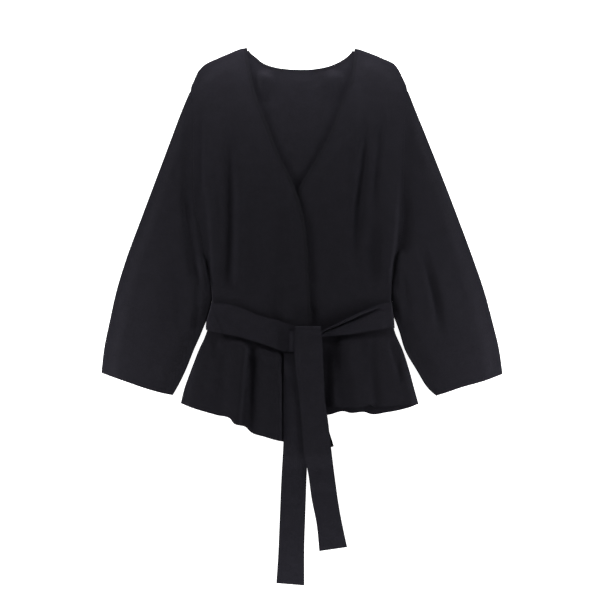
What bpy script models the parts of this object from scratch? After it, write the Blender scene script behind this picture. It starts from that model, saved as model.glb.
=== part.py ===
"""A black knit wrap jacket with a tied self belt, laid flat on its back.

Plan positions are millimetres: x to the right as the laid jacket is seen from above, and
drop down from the neck points towards the hem. Heights are millimetres above the surface it
lies on. Each piece of cloth is a middle surface worked out on a grid, given half its wall on
each side. The wearer's right is on the left here.
"""
import bpy
import numpy as np

MM = 0.001
WALL = 2.0              # thickness of the knitted cloth
SEAM = 0.3              # gap between neighbouring pieces
PLY = WALL + SEAM       # rise from one layer to the next
HALF = WALL / 2         # middle height of a layer that lies on the surface
OVERLAP_RISE = 2.9      # rise of the upper front where it lies on the lower one
CENTRE_DROP = 472.93    # drop of the middle of the laid jacket

CROWN = 3.4             # loft of the cloth between its edges
CROWN_REACH = 36.0      # distance from an edge to full loft
BAND_WIDTH = 6.0        # self band round the neck and down the fronts
NECK_STEPS = 12         # straight steps that make the back neck curve
BELT_START = 448.0      # drop of the belt's upper edge at the side
BELT_END = 496.0        # drop of its lower edge there
BELT_RAMP = 24.0        # distance over which cloth climbs onto the belt
LIP_END = 0.2           # height where a turned edge ends
NECK_HIDDEN = 0.06      # share of the back neck at each end that the fronts cover

KNOT_X = -22.5          # left edge of the knot's core
KNOT_DROP = 497.5       # its upper edge
KNOT_SIZE = (54.0, 37.0)
KNOT_DEPTH = 5.6        # thickness of the core away from its edges
KNOT_BOTTOM = 12.2      # height of its underside
OVER_KNOT = 21.4        # middle height of the tail that lies over the knot

# Drops at which every panel has a row: along the armhole, and where it climbs onto the belt
# behind it and comes down.
ARMHOLE_DROPS = [79, 112, 150, 195, 240, 280, 315, 336]
WAIST_DROPS = [352, 368, 395, 422, 431, 440, 446, 464, 482, 500, 509, 517, 525, 545]

CLOTH_COLOUR = (0.013, 0.013, 0.015, 1.0)
CLOTH_ROUGHNESS = 0.85

# Plan outlines, each row an x and a drop.
RIGHT_SHOULDER = [(-182, 45), (-171, 33), (-150, 22), (-129, 13), (-108, 4.5), (-96, 1.6)]
LEFT_SHOULDER = [(92, 1.9), (102, 6), (122, 13), (143, 22), (161, 31), (171, 46)]
BACK_NECK = [(-96, 1.6), (-91, 13), (-70, 31), (-42, 38.5), (-12, 40.5), (20, 39.8), (53, 32.5),
             (72, 23), (84, 13), (92, 1.9)]
RIGHT_SIDE = [(-182, 45), (-195, 79), (-190, 123), (-189.5, 190), (-187, 277), (-180, 318),
              (-172, 356), (-163, 401), (-155, 438), (-155.5, 470), (-163.5, 496), (-180, 531),
              (-194, 566), (-206.5, 601), (-212, 624)]
LEFT_SIDE = [(171, 46), (184, 78), (180, 123), (178, 190), (177, 268), (176, 314), (169, 351),
             (161, 389), (155.5, 422), (154.5, 452), (156.5, 480), (162, 500), (176, 531),
             (187.5, 566), (197, 601), (204, 626)]
RIGHT_FRONT_EDGE = [(-96, 1.6), (-92, 31), (-80, 85), (-57, 144), (-42, 185), (-26, 216),
                    (-11.5, 249), (-3.5, 274), (3.5, 300), (8, 330), (12, 400), (16, 470),
                    (26, 560), (40, 645), (56, 699)]
LEFT_FRONT_EDGE = [(92, 1.9), (90, 22), (83, 65), (74, 87), (63, 113), (52, 144), (32, 183),
                   (19, 207), (-2, 240), (-14, 285), (-20, 350), (-24, 444), (-25, 540), (-26, 632)]
RIGHT_HEM = [(-212, 624), (-190, 633), (-150, 645), (-130, 651), (-122, 657), (-95, 664),
             (-88, 672), (-58, 686), (-30, 692), (10, 697), (56, 699)]
LEFT_HEM = [(-26, 632), (20, 632), (48, 630), (80, 631), (106, 630), (119, 626), (127, 629),
            (160, 627), (204, 625)]
BACK_HEM = [(-212, 622), (-120, 638), (0, 645), (48, 643), (70, 640), (122, 641), (154, 640),
            (175, 635), (196, 629), (204, 626)]

# Sleeves: the outer edge, the inner edge and the cuff between them.
RIGHT_SLEEVE_OUTER = [(-195.5, 79), (-208, 109), (-229, 164), (-255.5, 234), (-282, 304),
                      (-308, 374), (-324, 426), (-336, 479), (-346.5, 531), (-351, 571)]
RIGHT_SLEEVE_INNER = [(-173.4, 356), (-171.4, 373), (-165.8, 401), (-159.3, 430), (-159, 452),
                      (-161, 471), (-166.5, 484), (-175.5, 499), (-189, 531), (-203, 566),
                      (-219, 598), (-226, 610)]
RIGHT_CUFF = [(-351, 571), (-311, 585), (-270, 599), (-241, 607), (-226, 610)]
LEFT_SLEEVE_OUTER = [(184.5, 78), (197.4, 111), (219, 164), (247, 234), (274, 304), (300, 374),
                     (318, 426), (332.5, 479), (345, 531), (351, 573)]
LEFT_SLEEVE_INNER = [(170, 351), (168.4, 366), (163.6, 389), (158.6, 420), (158.6, 452),
                     (160.6, 470), (164, 482), (169.5, 498), (180, 531), (200, 566), (223, 601),
                     (234.5, 611)]
LEFT_CUFF = [(351, 573), (318, 585), (276, 597), (250, 606), (234.5, 611)]

# The belt over the waist: edge drops across the front, each row an x and a drop.
BELT_TOP = [(-170, 448), (-121, 452), (-101, 459), (-77, 470), (-42, 479), (-24, 489), (16, 490),
            (33, 498), (84, 473), (131, 452), (145, 448), (170, 448)]
BELT_BOTTOM = [(-170, 496), (-102, 510), (-32, 533), (20, 535), (34, 510), (72, 505), (94, 502),
               (114, 499), (149, 493), (170, 491)]
STRAP_RIGHT_TOP = [(-158.4, 448), (-121, 452.5), (-101, 459), (-77, 470), (-42, 479), (-13, 489)]
STRAP_RIGHT_BOTTOM = [(-170.4, 496), (-138, 502), (-102, 510), (-60, 523), (-32, 533), (-11, 534)]
TAIL_RIGHT_LEFT = [(-12.5, 489), (-12.8, 542), (-5.6, 605), (-1.8, 643), (2.8, 703), (11.2, 750),
                   (17.2, 794), (25.2, 834), (30.3, 883)]
TAIL_RIGHT_RIGHT = [(33, 489), (34.5, 508), (37.3, 566), (40.3, 619), (45.5, 654), (50.4, 697),
                    (57.4, 753), (66.5, 815), (79, 876)]
TAIL_LEFT_LEFT = [(-31.5, 537), (-32.4, 619), (-32.6, 692), (-36, 753), (-39, 825), (-42, 895),
                  (-45, 939)]
TAIL_LEFT_RIGHT = [(14, 537), (13, 619), (11, 692), (8.2, 750), (6.1, 815), (4.2, 874), (4, 943)]
TAIL_DROPS = [537, 547, 556, 567, 579, 590, 620, 660, 706, 716, 726, 736, 746, 758, 771, 784]

# The strap on the left is gathered by a groove along it. Each row is an x, the drops of its
# upper edge, of the groove's two sides and of its lower edge, and the height of its rolls.
STRAP_LEFT = [
    (34, 497.5, 499.5, 502.5, 507.5, 3.6),
    (60, 485.5, 488.5, 494.5, 505.5, 3.6),
    (84, 473.5, 477, 484.5, 503.5, 3.0),
    (108, 462, 466, 472.5, 499.8, 2.0),
    (131, 452.2, 457, 463, 495.6, 1.0),
    (146, 448.4, 455, 466, 493, 0.4),
    (157.4, 448, 458, 474, 491, 0.2),
]

# Soft folds of the fronts and skirt. Each row is where the fold starts and ends, x and drop,
# its sideways bow, its height, its reach to each side, the lengths over which it grows and
# fades, and how far its crest leans sideways.
FRONT_FOLDS = [
    (-171, 285, -153, 436, -2, 3.0, 12, 14, 60, 30, 0),
    (-139, 70, -130, 444, 11, -3.4, 15, 16, 150, 10, 0),
    (-106, 160, -110, 444, 4, 2.4, 18, 26, 120, 10, 0),
    (104, 90, 82, 300, 3, 2.6, 16, 13, 60, 90, 0),
    (116, 125, 90, 384, -6, -3.2, 12, 12, 70, 60, 0),
    (132, 140, 110, 330, -2, 2.4, 11, 12, 60, 90, 0),
    (142, 110, 119, 290, -2, -2.8, 12, 13, 50, 70, 0),
    (140, 270, 136, 446, 2, -3.4, 15, 16, 80, 10, 0),
    (109, 300, 108, 446, 2, 2.0, 16, 14, 80, 20, 0),
    (166, 330, 150, 446, -3, 2.2, 9, 9, 50, 10, 0),
    (-177, 520, -196, 640, 0, 4.0, 18, 22, 60, 1, 0),
    (-150, 505, -150, 660, 0, -2.6, 14, 16, 30, 1, 0),
    (-113, 506, -121, 670, 0, 11.0, 30, 13, 120, 1, 4),
    (-90, 508, -88, 680, 2, -3.4, 13, 13, 20, 1, 0),
    (-72, 525, -57, 700, 0, 7.5, 15, 24, 110, 1, -2),
    (62, 512, 70, 640, 0, -3.4, 13, 13, 20, 1, 0),
    (85, 508, 118, 640, -2, 9.0, 24, 13, 90, 1, 4),
    (112, 515, 134, 640, 0, -2.0, 12, 16, 40, 1, 0),
    (154, 508, 174, 600, 2, -3.0, 12, 11, 20, 50, 0),
    (172, 530, 195, 640, 0, 3.5, 14, 16, 60, 1, 0),
]
RIGHT_SLEEVE_FOLDS = [
    (-177, 372, -192, 520, 2, -2.8, 9, 9, 30, 60, 0),
    (-205, 395, -214, 515, 0, -2.0, 20, 20, 50, 50, 0),
    (-238, 330, -262, 540, 0, 1.8, 26, 24, 90, 70, 0),
]
LEFT_SLEEVE_FOLDS = [
    (197, 335, 238, 505, 6, -3.2, 10, 12, 50, 30, 0),
    (212, 345, 256, 520, 6, 3.2, 12, 22, 60, 60, 0),
    (160, 414, 180, 490, 0, 1.8, 7, 7, 20, 30, 0),
    (232, 180, 268, 360, 0, 1.6, 24, 24, 80, 80, 0),
]

# An edge that turns down to meet the layer below it: inset from the outline, and the share
# of the way down. A seamed edge stays level.
TURNED = [(0.8, 1.0), (1.0, 0.5), (1.5, 0.16), (3.2, 0.0)]
SEAMED = [0.0, 1.0, 2.0, 3.2]


def curve(points):
    """Smooth curve through the points as a function of its share t, from 0 to 1.

    Between two points it is a cubic whose slope at each point is the mean slope around it.
    """
    points = np.asarray(points, float)
    lengths = np.linalg.norm(np.diff(points, axis=0), axis=1)
    knots = np.concatenate([[0.0], np.cumsum(lengths)]) / lengths.sum()
    slopes = np.gradient(points, knots, axis=0)

    def at(t):
        t = np.asarray(t, float)
        i = np.clip(np.searchsorted(knots, t, side="right") - 1, 0, len(points) - 2)
        span = (knots[i + 1] - knots[i])[..., None]
        s = (t - knots[i])[..., None] / span
        start = points[i] * (1 + 2 * s) + slopes[i] * span * s
        end = points[i + 1] * (3 - 2 * s) + slopes[i + 1] * span * (s - 1)
        return start * (1 - s) ** 2 + end * s ** 2

    return at


def chained(curves, breaks):
    """Curves end to end; each takes the share of t between two of the breaks."""

    def at(t):
        t = np.asarray(t, float)
        out = np.zeros(t.shape + (2,))
        for path, start, end in zip(curves, breaks[:-1], breaks[1:]):
            inside = (t >= start) & (t <= end)
            out[inside] = path((t[inside] - start) / (end - start))
        return out

    return at


def moved_aside(path, distance):
    """The path moved sideways in plan, to the right of its direction where distance is over 0."""
    step = 0.004

    def at(t):
        t = np.asarray(t, float)
        along = path(np.minimum(t + step, 1)) - path(np.maximum(t - step, 0))
        along /= np.linalg.norm(along, axis=-1, keepdims=True)
        return path(t) + distance * np.stack([-along[..., 1], along[..., 0]], axis=-1)

    return at


def shifted(path, inset):
    """The path with its x moved by inset(drop)."""

    def at(t):
        out = path(t)
        out[..., 0] += inset(out[..., 1])
        return out

    return at


def patch(left, right, top, bottom, u, v):
    """Coons patch: plan points that blend the four border curves, u across and v down."""
    top_left, top_right = top(np.array([0.0, 1.0]))
    bottom_left, bottom_right = bottom(np.array([0.0, 1.0]))
    u, v = u[..., None], v[..., None]
    sideways = (1 - u) * left(v[..., 0]) + u * right(v[..., 0])
    down = (1 - v) * top(u[..., 0]) + v * bottom(u[..., 0])
    upper = (1 - u) * top_left + u * top_right
    lower = (1 - u) * bottom_left + u * bottom_right
    return sideways + down - (1 - v) * upper - v * lower


def stations(breaks, counts):
    """Values from the first break to the last, with each stretch cut evenly by its count."""
    stretches = zip(breaks[:-1], breaks[1:], counts)
    parts = [np.linspace(start, end, count, endpoint=False) for start, end, count in stretches]
    return np.concatenate(parts + [[breaks[-1]]])


def step_up(value, start, end):
    """0 before start, 1 after end, and a smooth rise between them."""
    t = np.clip((value - start) / (end - start), 0, 1)
    return t * t * (3 - 2 * t)


def window(value, start, end, ramp):
    """1 from start to end, falling smoothly to 0 over the ramp on each side."""
    return step_up(value, start - ramp, start) * (1 - step_up(value, end, end + ramp))


def across(table, value):
    """The table's second column read at a value of its first."""
    rows = np.asarray(table, float)
    return np.interp(value, rows[:, 0], rows[:, 1])


def x_of(table, drop):
    """The x of an outline at a drop."""
    rows = np.asarray(table, float)
    return np.interp(drop, rows[:, 1], rows[:, 0])


def folds(table, x, drop):
    """Sum of the folds' heights at plan points, and the sideways lean of their crests.

    A fold's section is a squared cosine about its crest, with its own reach to each side.
    Its height grows from its start and fades to its end.
    """
    height = np.zeros_like(x)
    lean = np.zeros_like(x)
    for x0, d0, x1, d1, bow, rise, reach_left, reach_right, grow, fade, tilt in table:
        t = (drop - d0) / (d1 - d0)
        crest = x0 + (x1 - x0) * t + 4 * bow * t * (1 - t)
        reach = np.where(x < crest, reach_left, reach_right)
        side = np.clip(np.abs(x - crest) / reach, 0, 1)
        strength = step_up(drop, d0, d0 + grow) * (1 - step_up(drop, d1 - fade, d1))
        bump = np.cos(np.pi / 2 * side) ** 2 * strength
        height += rise * bump
        lean += tilt * bump
    return height, lean


def lifted(height):
    """Heights kept above 0 by a soft bend, so that cloth rests on what is below it."""
    softness = 0.5
    return 0.5 * (height + np.sqrt(height ** 2 + softness ** 2))


def back_height(x, drop):
    """Middle height of the back, which climbs over the belt behind it."""
    return HALF + PLY * window(drop, BELT_START - 2, BELT_END + 4, BELT_RAMP)


def front_relief(x, drop):
    """Loft and folds of the fronts above the back, and the lean of the folds."""
    to_side = np.minimum(x - x_of(RIGHT_SIDE, drop), x_of(LEFT_SIDE, drop) - x)
    neck_right = np.where(drop < 249, x_of(RIGHT_FRONT_EDGE, drop), -11.5 + 0.45 * (drop - 249))
    neck_left = np.where(drop < 240, x_of(LEFT_FRONT_EDGE, drop), -2 - 0.6 * (drop - 240))
    to_neck = np.maximum(neck_right - x, x - neck_left)
    shoulder_line = across(RIGHT_SHOULDER + LEFT_SHOULDER, x)
    loft = CROWN * step_up(to_side, 0, CROWN_REACH) * step_up(to_neck, 0, CROWN_REACH)
    loft *= step_up(drop - shoulder_line, 0, CROWN_REACH)
    height, lean = folds(FRONT_FOLDS, x, drop)
    height *= step_up(to_side, 0, 10)
    under_belt = window(drop, across(BELT_TOP, x) - 12, across(BELT_BOTTOM, x) + 12, 18)
    under_tails = window(x, -36, 46, 12) * step_up(drop, 500, 530)
    free = (1 - under_belt) * (1 - under_tails)
    return lifted(loft + height) * free, lean * free


def lower_front_height(x, drop):
    """Middle height of the front that lies on the back."""
    waist_end = np.maximum(BELT_END + 12, across(BELT_BOTTOM, x) + 8)
    waist = window(drop, BELT_START - 12, waist_end, BELT_RAMP + 2)
    return HALF + PLY + PLY * waist + front_relief(x, drop)[0]


def upper_front_height(x, drop):
    """Middle height of the front that also lies on the other front's edge."""
    edge = x_of(LEFT_FRONT_EDGE, drop)
    return lower_front_height(x, drop) + OVERLAP_RISE * step_up(x, edge - 28, edge - 4)


def front_lean(x, drop):
    """Sideways lean of the fronts' folds."""
    return front_relief(x, drop)[1]


def plan_grid(sides, u, rows, turned_left=None, turned_right=None, turned_top=False):
    """Plan points of a panel and the fall of its turned edges.

    The columns run down the patch. The rows cross them at even shares of the yoke, at the
    drops that all panels share, and at even shares of the skirt, so that panels which lie on
    each other bend at the same places. Near a turned edge the columns keep real distances
    from the outline, between the turned and the seamed profile.
    """
    left, right, top, bottom = sides
    v = np.linspace(0, 1, 300)
    start, end = left(v), right(v)
    width = np.linalg.norm(end - start, axis=1)
    columns = [np.full(len(v), value) for value in u]
    falls = [np.zeros(len(v)) for value in u]
    for turned, edge, on_right in ((turned_left, start, False), (turned_right, end, True)):
        if turned is None:
            continue
        share = turned(edge[:, 1])
        near = [(share * inset + (1 - share) * level_inset) / width
                for (inset, _), level_inset in zip(TURNED, SEAMED)]
        down = [share * fall for _, fall in TURNED]
        if on_right:
            columns = columns + [1 - inset for inset in near[::-1]]
            falls = falls + down[::-1]
        else:
            columns, falls = near + columns, down + falls
    u_fine = np.stack(columns, axis=1)
    v_fine = np.repeat(v[:, None], u_fine.shape[1], axis=1)
    fine = patch(left, right, top, bottom, u_fine, v_fine)
    yoke_rows, skirt_rows = rows
    plan, fall = [], []
    for j, column_fall in enumerate(falls):
        first, last = fine[0, j, 1], fine[-1, j, 1]
        insets = [inset for inset, _ in TURNED] if turned_top else [0.0]
        yoke = np.linspace(first + 5.0, ARMHOLE_DROPS[0], yoke_rows, endpoint=False)
        skirt = np.linspace(WAIST_DROPS[-1], last, skirt_rows + 1)[1:]
        drops = np.concatenate([first + np.array(insets), yoke, ARMHOLE_DROPS, WAIST_DROPS, skirt])
        plan.append(np.stack([np.interp(drops, fine[:, j, 1], fine[:, j, 0]), drops], axis=-1))
        down = np.interp(drops, fine[:, j, 1], column_fall)
        if turned_top:
            down[:len(TURNED)] = np.maximum(down[:len(TURNED)], [drop for _, drop in TURNED])
        fall.append(down)
    return np.stack(plan, axis=1), np.stack(fall, axis=1)


def surface(plan, height, fall=0.0, lean=0.0, end=LIP_END):
    """Middle surface of a panel over its plan points, with its turned edges let down to end."""
    z = height - fall * (height - end)
    return np.stack([plan[..., 0] + lean, CENTRE_DROP - plan[..., 1], z], axis=-1)


def unit(vectors):
    """The vectors at length 1."""
    return vectors / np.linalg.norm(vectors, axis=-1, keepdims=True)


def heading(grid, axis, ring):
    """Mean direction of the steps before and after each point along one axis of a grid."""
    if ring:
        ahead = unit(np.roll(grid, -1, axis) - grid)
        return ahead + np.roll(ahead, 1, axis)
    steps = unit(np.diff(grid, axis=axis))
    first, last = steps.take([0], axis), steps.take([-1], axis)
    return np.concatenate([first, steps], axis) + np.concatenate([steps, last], axis)


def cloth(name, middle, wall=WALL, ring=False):
    """One closed wall: the middle surface moved out by half the wall on each side.

    With ring, the last column joins the first, as round a sleeve.
    """
    normal = unit(np.cross(heading(middle, 0, False), heading(middle, 1, ring)))
    rows, columns = middle.shape[:2]
    out = normal * np.broadcast_to(wall, (rows, columns))[..., None] / 2
    points = np.concatenate([(middle + out).reshape(-1, 3), (middle - out).reshape(-1, 3)])
    points[:, 2] = np.maximum(points[:, 2], 0.0)
    index = np.arange(rows * columns).reshape(rows, columns)
    if ring:
        index = np.concatenate([index, index[:, :1]], axis=1)
    below = index + rows * columns

    def quads(a, b, c, d):
        return np.stack([a, b, c, d], axis=-1).reshape(-1, 4)

    faces = [
        quads(index[:-1, :-1], index[1:, :-1], index[1:, 1:], index[:-1, 1:]),
        quads(below[:-1, :-1], below[:-1, 1:], below[1:, 1:], below[1:, :-1]),
        quads(index[0, :-1], index[0, 1:], below[0, 1:], below[0, :-1]),
        quads(index[-1, 1:], index[-1, :-1], below[-1, :-1], below[-1, 1:]),
    ]
    if not ring:
        faces.append(quads(index[1:, 0], index[:-1, 0], below[:-1, 0], below[1:, 0]))
        faces.append(quads(index[:-1, -1], index[1:, -1], below[1:, -1], below[:-1, -1]))
    mesh = bpy.data.meshes.new(name)
    mesh.from_pydata((points * MM).tolist(), [], np.concatenate(faces).tolist())
    mesh.shade_smooth()
    mesh.set_sharp_from_angle(angle=np.radians(50))
    piece = bpy.data.objects.new(name, mesh)
    bpy.context.scene.collection.objects.link(piece)
    piece.data.materials.append(knit_material(name))
    return piece


def knit_material(name):
    """Black fine knit, one material for each piece."""
    material = bpy.data.materials.new(name + "_knit")
    material.use_nodes = True
    shader = material.node_tree.nodes["Principled BSDF"]
    shader.inputs["Base Color"].default_value = CLOTH_COLOUR
    shader.inputs["Roughness"].default_value = CLOTH_ROUGHNESS
    shader.inputs["Metallic"].default_value = 0.0
    return material


def side_turns(underarm, lead=0.0):
    """Share by which a side edge is turned down: none along the armhole, all beyond its ends."""
    notch = ARMHOLE_DROPS[0]

    def share(drop):
        above = 1 - step_up(drop, notch - 20 + lead, notch - 2 + lead)
        below = step_up(drop, underarm - lead, underarm + 24 - lead)
        return np.where(drop < 0.5 * (notch + underarm), above, below)

    return share


def lip_end(drop):
    """Height of the end of a turned side edge, which clears the belt behind the waist."""
    return LIP_END + PLY * window(drop, BELT_START - 2, BELT_END + 4, BELT_RAMP)


def build_back():
    """Back panel, with its neck curve inset by the band and its sides inside the fronts' lips."""
    inset = WALL + 2 * SEAM
    turns_right, turns_left = side_turns(356, 26), side_turns(351, 26)
    left = shifted(curve(RIGHT_SIDE), lambda drop: inset * turns_right(drop))
    right = shifted(curve(LEFT_SIDE), lambda drop: -inset * turns_left(drop))
    whole_neck = moved_aside(curve(BACK_NECK), BAND_WIDTH + SEAM)

    def neck(t):
        return whole_neck(NECK_HIDDEN + (1 - 2 * NECK_HIDDEN) * t)

    inner = np.linspace(0, 1, 7)[1:-1]
    shoulder_up = moved_aside(curve(RIGHT_SHOULDER), inset + 1)(inner).tolist()
    shoulder_down = moved_aside(curve(LEFT_SHOULDER), inset + 1)(inner).tolist()
    first = [left(np.array([0.0]))[0].tolist(), *shoulder_up, neck(np.array([0.0]))[0].tolist()]
    last = [neck(np.array([1.0]))[0].tolist(), *shoulder_down, right(np.array([0.0]))[0].tolist()]
    neck_shares = (0.24, 0.77)
    top = chained([curve(first), neck, curve(last)], [0, *neck_shares, 1])
    u = stations([0, *neck_shares, 1], [3, NECK_STEPS, 3])
    plan, _ = plan_grid((left, right, top, curve(BACK_HEM)), u, (2, 4))
    cloth("back", surface(plan, back_height(plan[..., 0], plan[..., 1])))
    border = plan[0, 3:4 + NECK_STEPS]
    build_band("neckband_back", border, -1, back_height)


def inset_edge(points, distance, shoulder):
    """A front's edge moved in by the band, and its corner, which lies on the shoulder's line."""
    width = abs(distance)
    along = curve(shoulder)(np.linspace(0, 1, 400))
    corner = along[np.searchsorted(np.linalg.norm(along - along[0], axis=1), width)].tolist()
    line = moved_aside(curve(points), distance)(np.linspace(0.04, 1, 22)).tolist()
    return curve([corner] + line), corner


def build_fronts():
    """Both fronts. Each follows its edge inset by the band, and its side turns down."""
    rows = (2, 7)
    edge, corner = inset_edge(RIGHT_FRONT_EDGE, BAND_WIDTH + SEAM, RIGHT_SHOULDER[::-1])
    sides = (curve(RIGHT_SIDE), edge, curve(RIGHT_SHOULDER[:-1] + [corner]),
             curve(RIGHT_HEM[:-1] + [edge(np.array([1.0]))[0].tolist()]))
    u = stations([0.06, 0.26, 0.62, 1], [3, 12, 5])
    plan, fall = plan_grid(sides, u, rows, turned_left=side_turns(356), turned_top=True)
    x, drop = plan[..., 0], plan[..., 1]
    middle = surface(plan, upper_front_height(x, drop), fall, front_lean(x, drop), lip_end(drop))
    cloth("front_right", middle)
    build_band("neckband_right", plan[3:, -1], -1, upper_front_height)

    edge, corner = inset_edge(LEFT_FRONT_EDGE, -BAND_WIDTH - SEAM, LEFT_SHOULDER)
    sides = (edge, curve(LEFT_SIDE), curve([corner] + LEFT_SHOULDER[2:]),
             curve([edge(np.array([1.0]))[0].tolist()] + LEFT_HEM[1:]))
    u = stations([0, 0.3, 0.78, 0.95], [4, 11, 3])
    plan, fall = plan_grid(sides, u, rows, turned_right=side_turns(351), turned_top=True)
    x, drop = plan[..., 0], plan[..., 1]
    middle = surface(plan, lower_front_height(x, drop), fall, front_lean(x, drop), lip_end(drop))
    cloth("front_left", middle)
    build_band("neckband_left", plan[3:, 0], 1, lower_front_height)


def build_band(name, border, side, height):
    """A strip of self band along a panel's border, made from the border's own points.

    The points are moved out across the border, to the side that is given, by the seam's gap
    and then by the band's width.
    """
    along = np.gradient(border, axis=0)
    outward = side * unit(np.stack([-along[:, 1], along[:, 0]], axis=-1))
    lines = [border + outward * (SEAM + BAND_WIDTH * share) for share in (0, 0.5, 1)]
    plan = np.stack(lines if name != "neckband_left" else lines[::-1], axis=1)
    x, drop = plan[..., 0], plan[..., 1]
    lean = 0.0 if name == "neckband_back" else front_lean(x, drop)
    cloth(name, surface(plan, height(x, drop), 0.0, lean))


def build_sleeve(name, armhole, outer, inner, cuff, table, mirrored):
    """A sleeve laid flat: a tube whose rings run over the top and back along the underside.

    The rings start at the armhole seam and end at the cuff. Each ring turns at both edges
    of the sleeve on a small round.
    """
    edge_insets = [1.0, 1.35, 2.8, 10.0, 22.0]
    edge_rises = [1.15, 0.3, 0.0, 0.0, 0.0]
    v = stations([0, 0.08, 0.5, 1], [2, 6, 7])
    start, end = outer(v), inner(v)
    width = np.linalg.norm(end - start, axis=1)
    near = [inset / width for inset in edge_insets]
    t = np.linspace(0, 1, 200)
    shares = np.interp(ARMHOLE_DROPS[1:-1], armhole(t)[:, 1], t)
    first_share = edge_insets[-1] / width[0]
    shares = (shares - first_share) / (1 - 2 * first_share)
    middle_shares = [near[-1] + (1 - 2 * near[-1]) * share for share in shares]
    u = np.stack(near + middle_shares + [1 - share for share in near[::-1]], axis=1)
    rises = np.array(edge_rises + [0.0] * len(shares) + edge_rises[::-1])
    plan = patch(outer, inner, armhole, cuff, u, np.repeat(v[:, None], u.shape[1], axis=1))
    x, drop = plan[..., 0], plan[..., 1]
    to_edge = np.minimum(u, 1 - u) * width[:, None]
    seam = armhole(np.linspace(0, 1, 40))
    past_underarm = np.maximum(drop - seam[-1, 1], 0)
    from_armhole = np.hypot(x - np.interp(drop, seam[:, 1], seam[:, 0]), past_underarm)
    loft = CROWN * step_up(to_edge, 2, CROWN_REACH) * step_up(from_armhole, 0, CROWN_REACH)
    height = folds(table, x, drop)[0] * step_up(to_edge, 2, 12) * step_up(from_armhole, 0, 20)
    over = HALF + PLY + lifted(loft + height) * step_up(to_edge, 1.5, 6) - rises
    over_points = surface(plan, over)
    under_points = surface(plan, np.broadcast_to(HALF + rises, x.shape))
    ring = np.concatenate([over_points, under_points[:, 1:-1][:, ::-1]], axis=1)
    cloth(name, ring[:, ::-1] if mirrored else ring, ring=True)


def armhole_gap(drop):
    """Gap between the body and a sleeve's end, wider at the underarm, where the edge turns."""
    return SEAM + 0.4 + 0.6 * step_up(drop, 318, 345)


def build_sleeves():
    """Both sleeves, each starting a seam's gap outside the body's armhole."""
    right_side, left_side = curve(RIGHT_SIDE), curve(LEFT_SIDE)
    share_of = {}
    t = np.linspace(0, 1, 400)
    for key, path, drops in (("right", right_side, (79, 356)), ("left", left_side, (78, 351))):
        share_of[key] = np.interp(drops, path(t)[:, 1], t)
    right_armhole = shifted(lambda u: right_side(share_of["right"][0] + u * np.ptp(share_of["right"])),
                            lambda drop: -armhole_gap(drop))
    left_armhole = shifted(lambda u: left_side(share_of["left"][0] + u * np.ptp(share_of["left"])),
                           armhole_gap)
    for name, armhole, outer, inner, cuff, table, mirrored in (
            ("sleeve_right", right_armhole, RIGHT_SLEEVE_OUTER, RIGHT_SLEEVE_INNER, RIGHT_CUFF,
             RIGHT_SLEEVE_FOLDS, False),
            ("sleeve_left", left_armhole, LEFT_SLEEVE_OUTER, LEFT_SLEEVE_INNER, LEFT_CUFF,
             LEFT_SLEEVE_FOLDS, True)):
        top, underarm = armhole(np.array([0.0, 1.0])).tolist()
        build_sleeve(name, armhole, curve([top] + outer[1:]), curve([underarm] + inner[1:]),
                     curve(cuff), table, mirrored)


def build_belt_back():
    """The belt's stretch behind the waist, flat on the surface below the back."""
    right_side, left_side = curve(RIGHT_SIDE), curve(LEFT_SIDE)
    drops = np.linspace(BELT_START, BELT_END, 4)
    t = np.linspace(0, 1, 400)
    start = np.interp(drops, right_side(t)[:, 1], right_side(t)[:, 0])
    end = np.interp(drops, left_side(t)[:, 1], left_side(t)[:, 0])
    share = np.linspace(0, 1, 8)
    x = start[:, None] + (end - start)[:, None] * share
    plan = np.stack([x, np.repeat(drops[:, None], len(share), axis=1)], axis=-1)
    cloth("belt_back", surface(plan, np.full(x.shape, HALF)))


def strap_level(x):
    """Middle height of a belt strap that lies on the fronts at the waist."""
    return HALF + 3 * PLY + OVERLAP_RISE * window(x, -40, 24, 26)


def build_strap_right():
    """The full width strap on the wearer's right, turned down round the side of the waist."""
    top, bottom = curve(STRAP_RIGHT_TOP), curve(STRAP_RIGHT_BOTTOM)
    v = np.linspace(0, 1, 5)
    u = np.concatenate([np.zeros(len(TURNED)), stations([0.06, 1], [12])])
    fall = np.concatenate([[drop for _, drop in TURNED], np.zeros(len(u) - len(TURNED))])
    plan = top(u) * (1 - v[:, None, None]) + bottom(u) * v[:, None, None]
    for column, (inset, _) in enumerate(TURNED):
        plan[:, column, 0] = x_of(RIGHT_SIDE, plan[:, column, 1]) - PLY - SEAM + inset
    x = plan[..., 0]
    sag = 0.8 * np.sin(np.pi * x / 55) ** 2 * step_up(x, -150, -120)
    cloth("belt_strap_right", surface(plan, strap_level(x) + sag, fall, 0.0, 0.0))


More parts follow.
